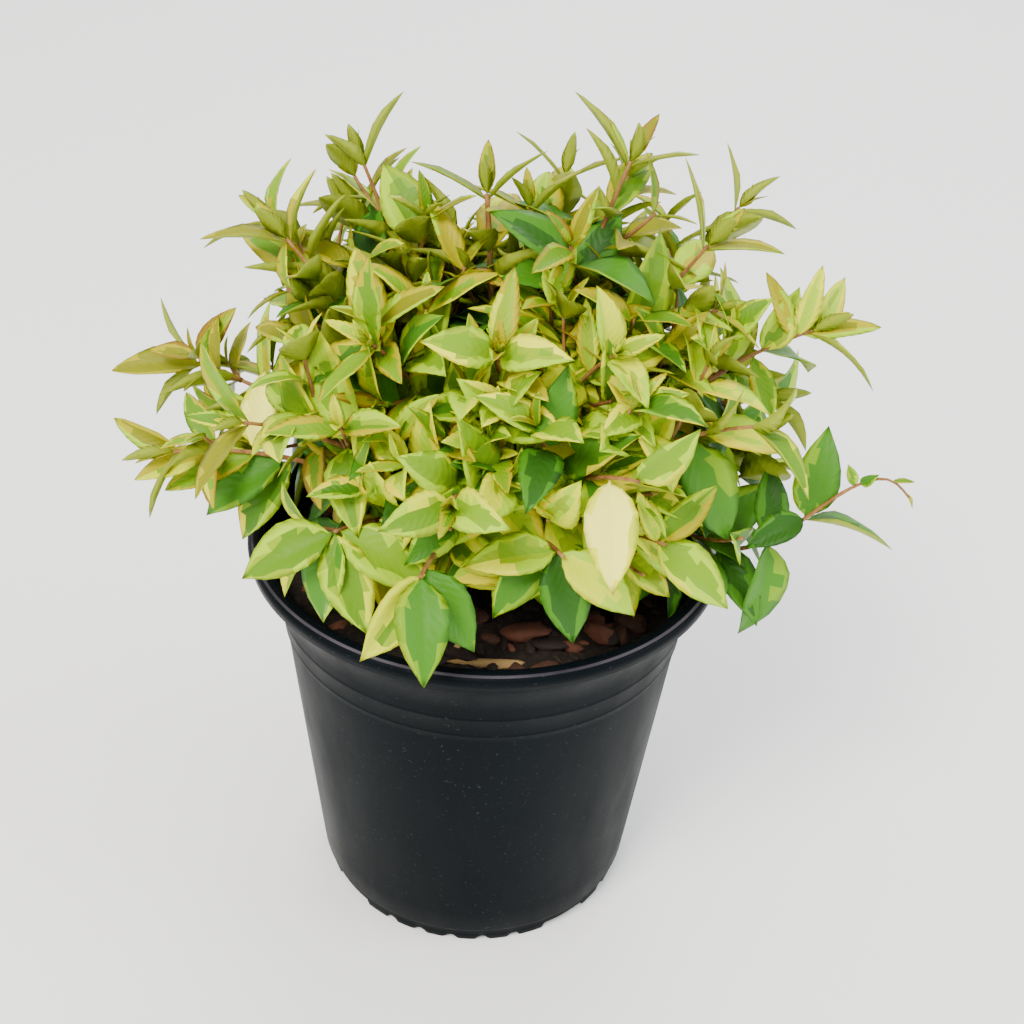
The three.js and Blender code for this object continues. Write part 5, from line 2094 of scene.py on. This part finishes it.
PLACED_CHIPS = (
    Chip(2, -71, 29, 4.6, 0.05, ChipColour.TAN),
    Chip(-9, -63, 8, 2.4, 1.3, ChipColour.TAN),
    Chip(17, -53, 17, 12, 0.4, ChipColour.RED),
    Chip(44, -52, 14, 9, -0.5, ChipColour.RED),
    Chip(50, -46, 9, 4, 0.3, ChipColour.RED),
    Chip(-6, -46, 15, 10, 0.9, ChipColour.BROWN),
)


@dataclass
class GrowingMix:
    """Crumbly growing mix with chips of bark lying on it."""

    edge: float = 81.7
    rings: int = 42
    steps: int = 220
    lump_size: float = 11
    lump_height: float = 1.6
    crumb_height: float = 2.4
    edge_band: float = 9
    edge_drop: float = 3
    broad_pitch: float = 0.45
    crumb_pitch: float = 1.6
    settling: float = 0.9
    wall_overlap: float = 0.8
    chips: int = 260
    chip_shapes: int = 6
    chip_lengths: tuple[int, ...] = (4, 5, 6, 8, 10, 14)
    chip_scales: tuple[float, float] = (0.8, 1.2)
    chip_breadths: tuple[float, float] = (0.25, 0.75)
    chip_thicknesses: tuple[float, float] = (0.4, 0.7)
    chip_tilt: float = 0.4
    chip_radius: float = 0.54
    chip_half_side: float = 0.46
    chip_odds: tuple[float, ...] = (5, 7, 2, 0.3)
    chip_rise: float = 0.2
    chip_margin: float = 5
    bare_reach: float = 16
    seed: int = 88

    def surface_height(self, x: float, y: float) -> float:
        """Height of the mix at a point.

        Args:
            x: Place along X.
            y: Place along Y.

        Returns:
            The height, lower near the wall.
        """
        place = Vector((x / self.lump_size, y / self.lump_size, 0.3))
        broad = noise.noise(place * self.broad_pitch) * self.lump_height
        crumbs = abs(noise.fractal(place * self.crumb_pitch, *CRUMB_OCTAVES)) * self.crumb_height
        drop = max(0.0, math.hypot(x, y) - self.edge + self.edge_band) / self.edge_band
        return MIX_HEIGHT - self.settling + broad + crumbs - self.edge_drop * drop * drop

    def build_surface(self) -> None:
        """Makes the body of the mix."""
        floor = POT.channel_depth + POT.floor + CLEARANCE
        foot = POT.foot_radius - POT.wall - CLEARANCE
        section = [(0.0, floor), (foot, floor), (self.edge, POT.cove_foot_height)]
        for ring in range(self.rings + 1):
            section.append(((self.edge + self.wall_overlap) * (1 - ring / self.rings), MIX_HEIGHT))
        bm = lathe(section, self.steps)
        for vert in bm.verts:
            if vert.co.z > MIX_HEIGHT - 1:
                vert.co.z = self.surface_height(vert.co.x, vert.co.y)
        dressed(finished("growing_mix_surface", bm, MixFinish().material()), ["growing_mix"])

    def chip_shape(self, rng: random.Random) -> SmallShape:
        """Makes one rough, worn chip 1 mm long.

        Args:
            rng: Source of its roughness.

        Returns:
            Its arrays.
        """
        bm = bmesh.new()
        bmesh.ops.create_icosphere(bm, subdivisions=2, radius=self.chip_radius)
        shift = Vector([rng.uniform(0, 50) for _ in range(3)])
        for vert in bm.verts:
            place = Vector([min(max(value, -self.chip_half_side), self.chip_half_side) for value in vert.co])
            rough = 0.5 * noise.noise(place * 2.4 + shift) + 0.2 * noise.noise(place * 6 + shift)
            vert.co = place * (1 + rough)
        bmesh.ops.recalc_face_normals(bm, faces=bm.faces)
        return SmallShape.from_bmesh(bm)

    def build_chips(self) -> None:
        """Scatters the chips."""
        rng = random.Random(self.seed)
        shapes = [self.chip_shape(rng) for _ in range(self.chip_shapes)]
        joined = JoinedShapes("bark_chips")
        colours = list(ChipColour)
        chips = list(PLACED_CHIPS)
        for _ in range(self.chips):
            band = self.edge - self.bare_reach - self.chip_margin
            reach = self.bare_reach + band * math.sqrt(rng.random())
            x, y, _ = polar(rng.uniform(0, math.tau), reach, 0)
            length = rng.choice(self.chip_lengths) * rng.uniform(*self.chip_scales)
            breadth = length * rng.uniform(*self.chip_breadths)
            colour = rng.choices(colours, weights=self.chip_odds)[0]
            chips.append(Chip(x, y, length, breadth, rng.uniform(0, math.tau), colour))
        for chip in chips:
            thickness = chip.breadth * rng.uniform(*self.chip_thicknesses)
            sizes = Vector((chip.length, chip.breadth, thickness))
            height = self.surface_height(chip.x, chip.y) + sizes.z * self.chip_rise
            place = Matrix.Translation((chip.x, chip.y, height))
            tilt = rng.uniform(-self.chip_tilt, self.chip_tilt)
            turn = Matrix.Rotation(chip.turn, 4, "Z") @ Matrix.Rotation(tilt, 4, "X")
            shape = rng.choice(shapes)
            slots = np.full(len(shape.face_sizes), colours.index(chip.colour))
            joined.add(shape, place @ turn @ Matrix.Diagonal(sizes.to_4d()), slots)
        dressed(joined.build([colour.value.material() for colour in colours]), [])

    def build(self) -> None:
        """Makes the mix and its chips."""
        self.build_surface()
        self.build_chips()


@dataclass(frozen=True)
class SoftLight:
    """A square soft light that points at the plant, in metres and watts."""

    name: str
    place: Triple
    power: float
    side: float
    colour: Colour
    aim: Triple = (0.0, 0.0, 0.2)

    def build(self) -> None:
        """Makes the light."""
        data = bpy.data.lights.new(self.name, "AREA")
        data.energy = self.power
        data.size = self.side
        data.color = linear(self.colour)[:3]
        turn = (Vector(self.aim) - Vector(self.place)).to_track_quat("-Z", "Y")
        light = linked(self.name, data)
        light.matrix_world = Matrix.Translation(self.place) @ turn.to_matrix().to_4x4()


@dataclass
class Studio:
    """Pale floor, soft light and the photograph's camera."""

    viewpoint: Viewpoint = VIEWPOINT
    floor_size: float = 12.0
    floor_colour: Colour = (244, 244, 242)
    sky_colour: Colour = (250, 250, 252)
    sky_strength: float = 1.5
    lights: tuple[SoftLight, ...] = (
        SoftLight("key_light", (-0.9, -1.5, 2.3), 102, 1.0, (255, 250, 240)),
        SoftLight("side_light", (1.9, -0.3, 1.0), 22, 1.0, (236, 244, 255)),
        SoftLight("back_light", (0.4, 2.0, 1.8), 34, 1.6, (255, 255, 255)),
    )

    def build_camera(self) -> None:
        """Places the camera where the photograph was taken from."""
        data = bpy.data.cameras.new("camera")
        data.lens = self.viewpoint.lens
        data.sensor_width = self.viewpoint.sensor
        data.clip_start = 0.01
        camera = linked("camera", data)
        right, above, ahead = self.viewpoint.axes()
        camera.matrix_world = Matrix.Translation(self.viewpoint.place) @ turned_to(right, above, -ahead)
        bpy.context.scene.camera = camera

    def build_floor(self) -> None:
        """Makes the floor."""
        bm = bmesh.new()
        bmesh.ops.create_grid(bm, x_segments=4, y_segments=4, size=self.floor_size / MILLIMETRE / 2)
        surface = Surface("pale_floor", 0.7, 0.2)
        surface.shade("Base Color", linear(self.floor_colour))
        finished("floor", bm, surface.material)

    def build(self) -> None:
        """Makes the whole setting."""
        self.build_camera()
        self.build_floor()
        for light in self.lights:
            light.build()
        world = bpy.data.worlds.new("soft_sky")
        world.use_nodes = True
        background = world.node_tree.nodes["Background"]
        background.inputs["Color"].default_value = linear(self.sky_colour)
        background.inputs["Strength"].default_value = self.sky_strength
        bpy.context.scene.world = world


def main() -> None:
    """Builds the pot, the growing mix, the plant and the studio."""
    logging.basicConfig(level=logging.INFO, format="%(name)s: %(message)s")
    shoots = planned_shoots()
    NurseryPot().build()
    GrowingMix().build()
    limbs = Limbs(shoots)
    limbs.build_stem()
    limbs.build_boughs()
    Crown(shoots).build()
    Studio().build()
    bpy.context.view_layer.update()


if __name__ == "__main__":
    main()
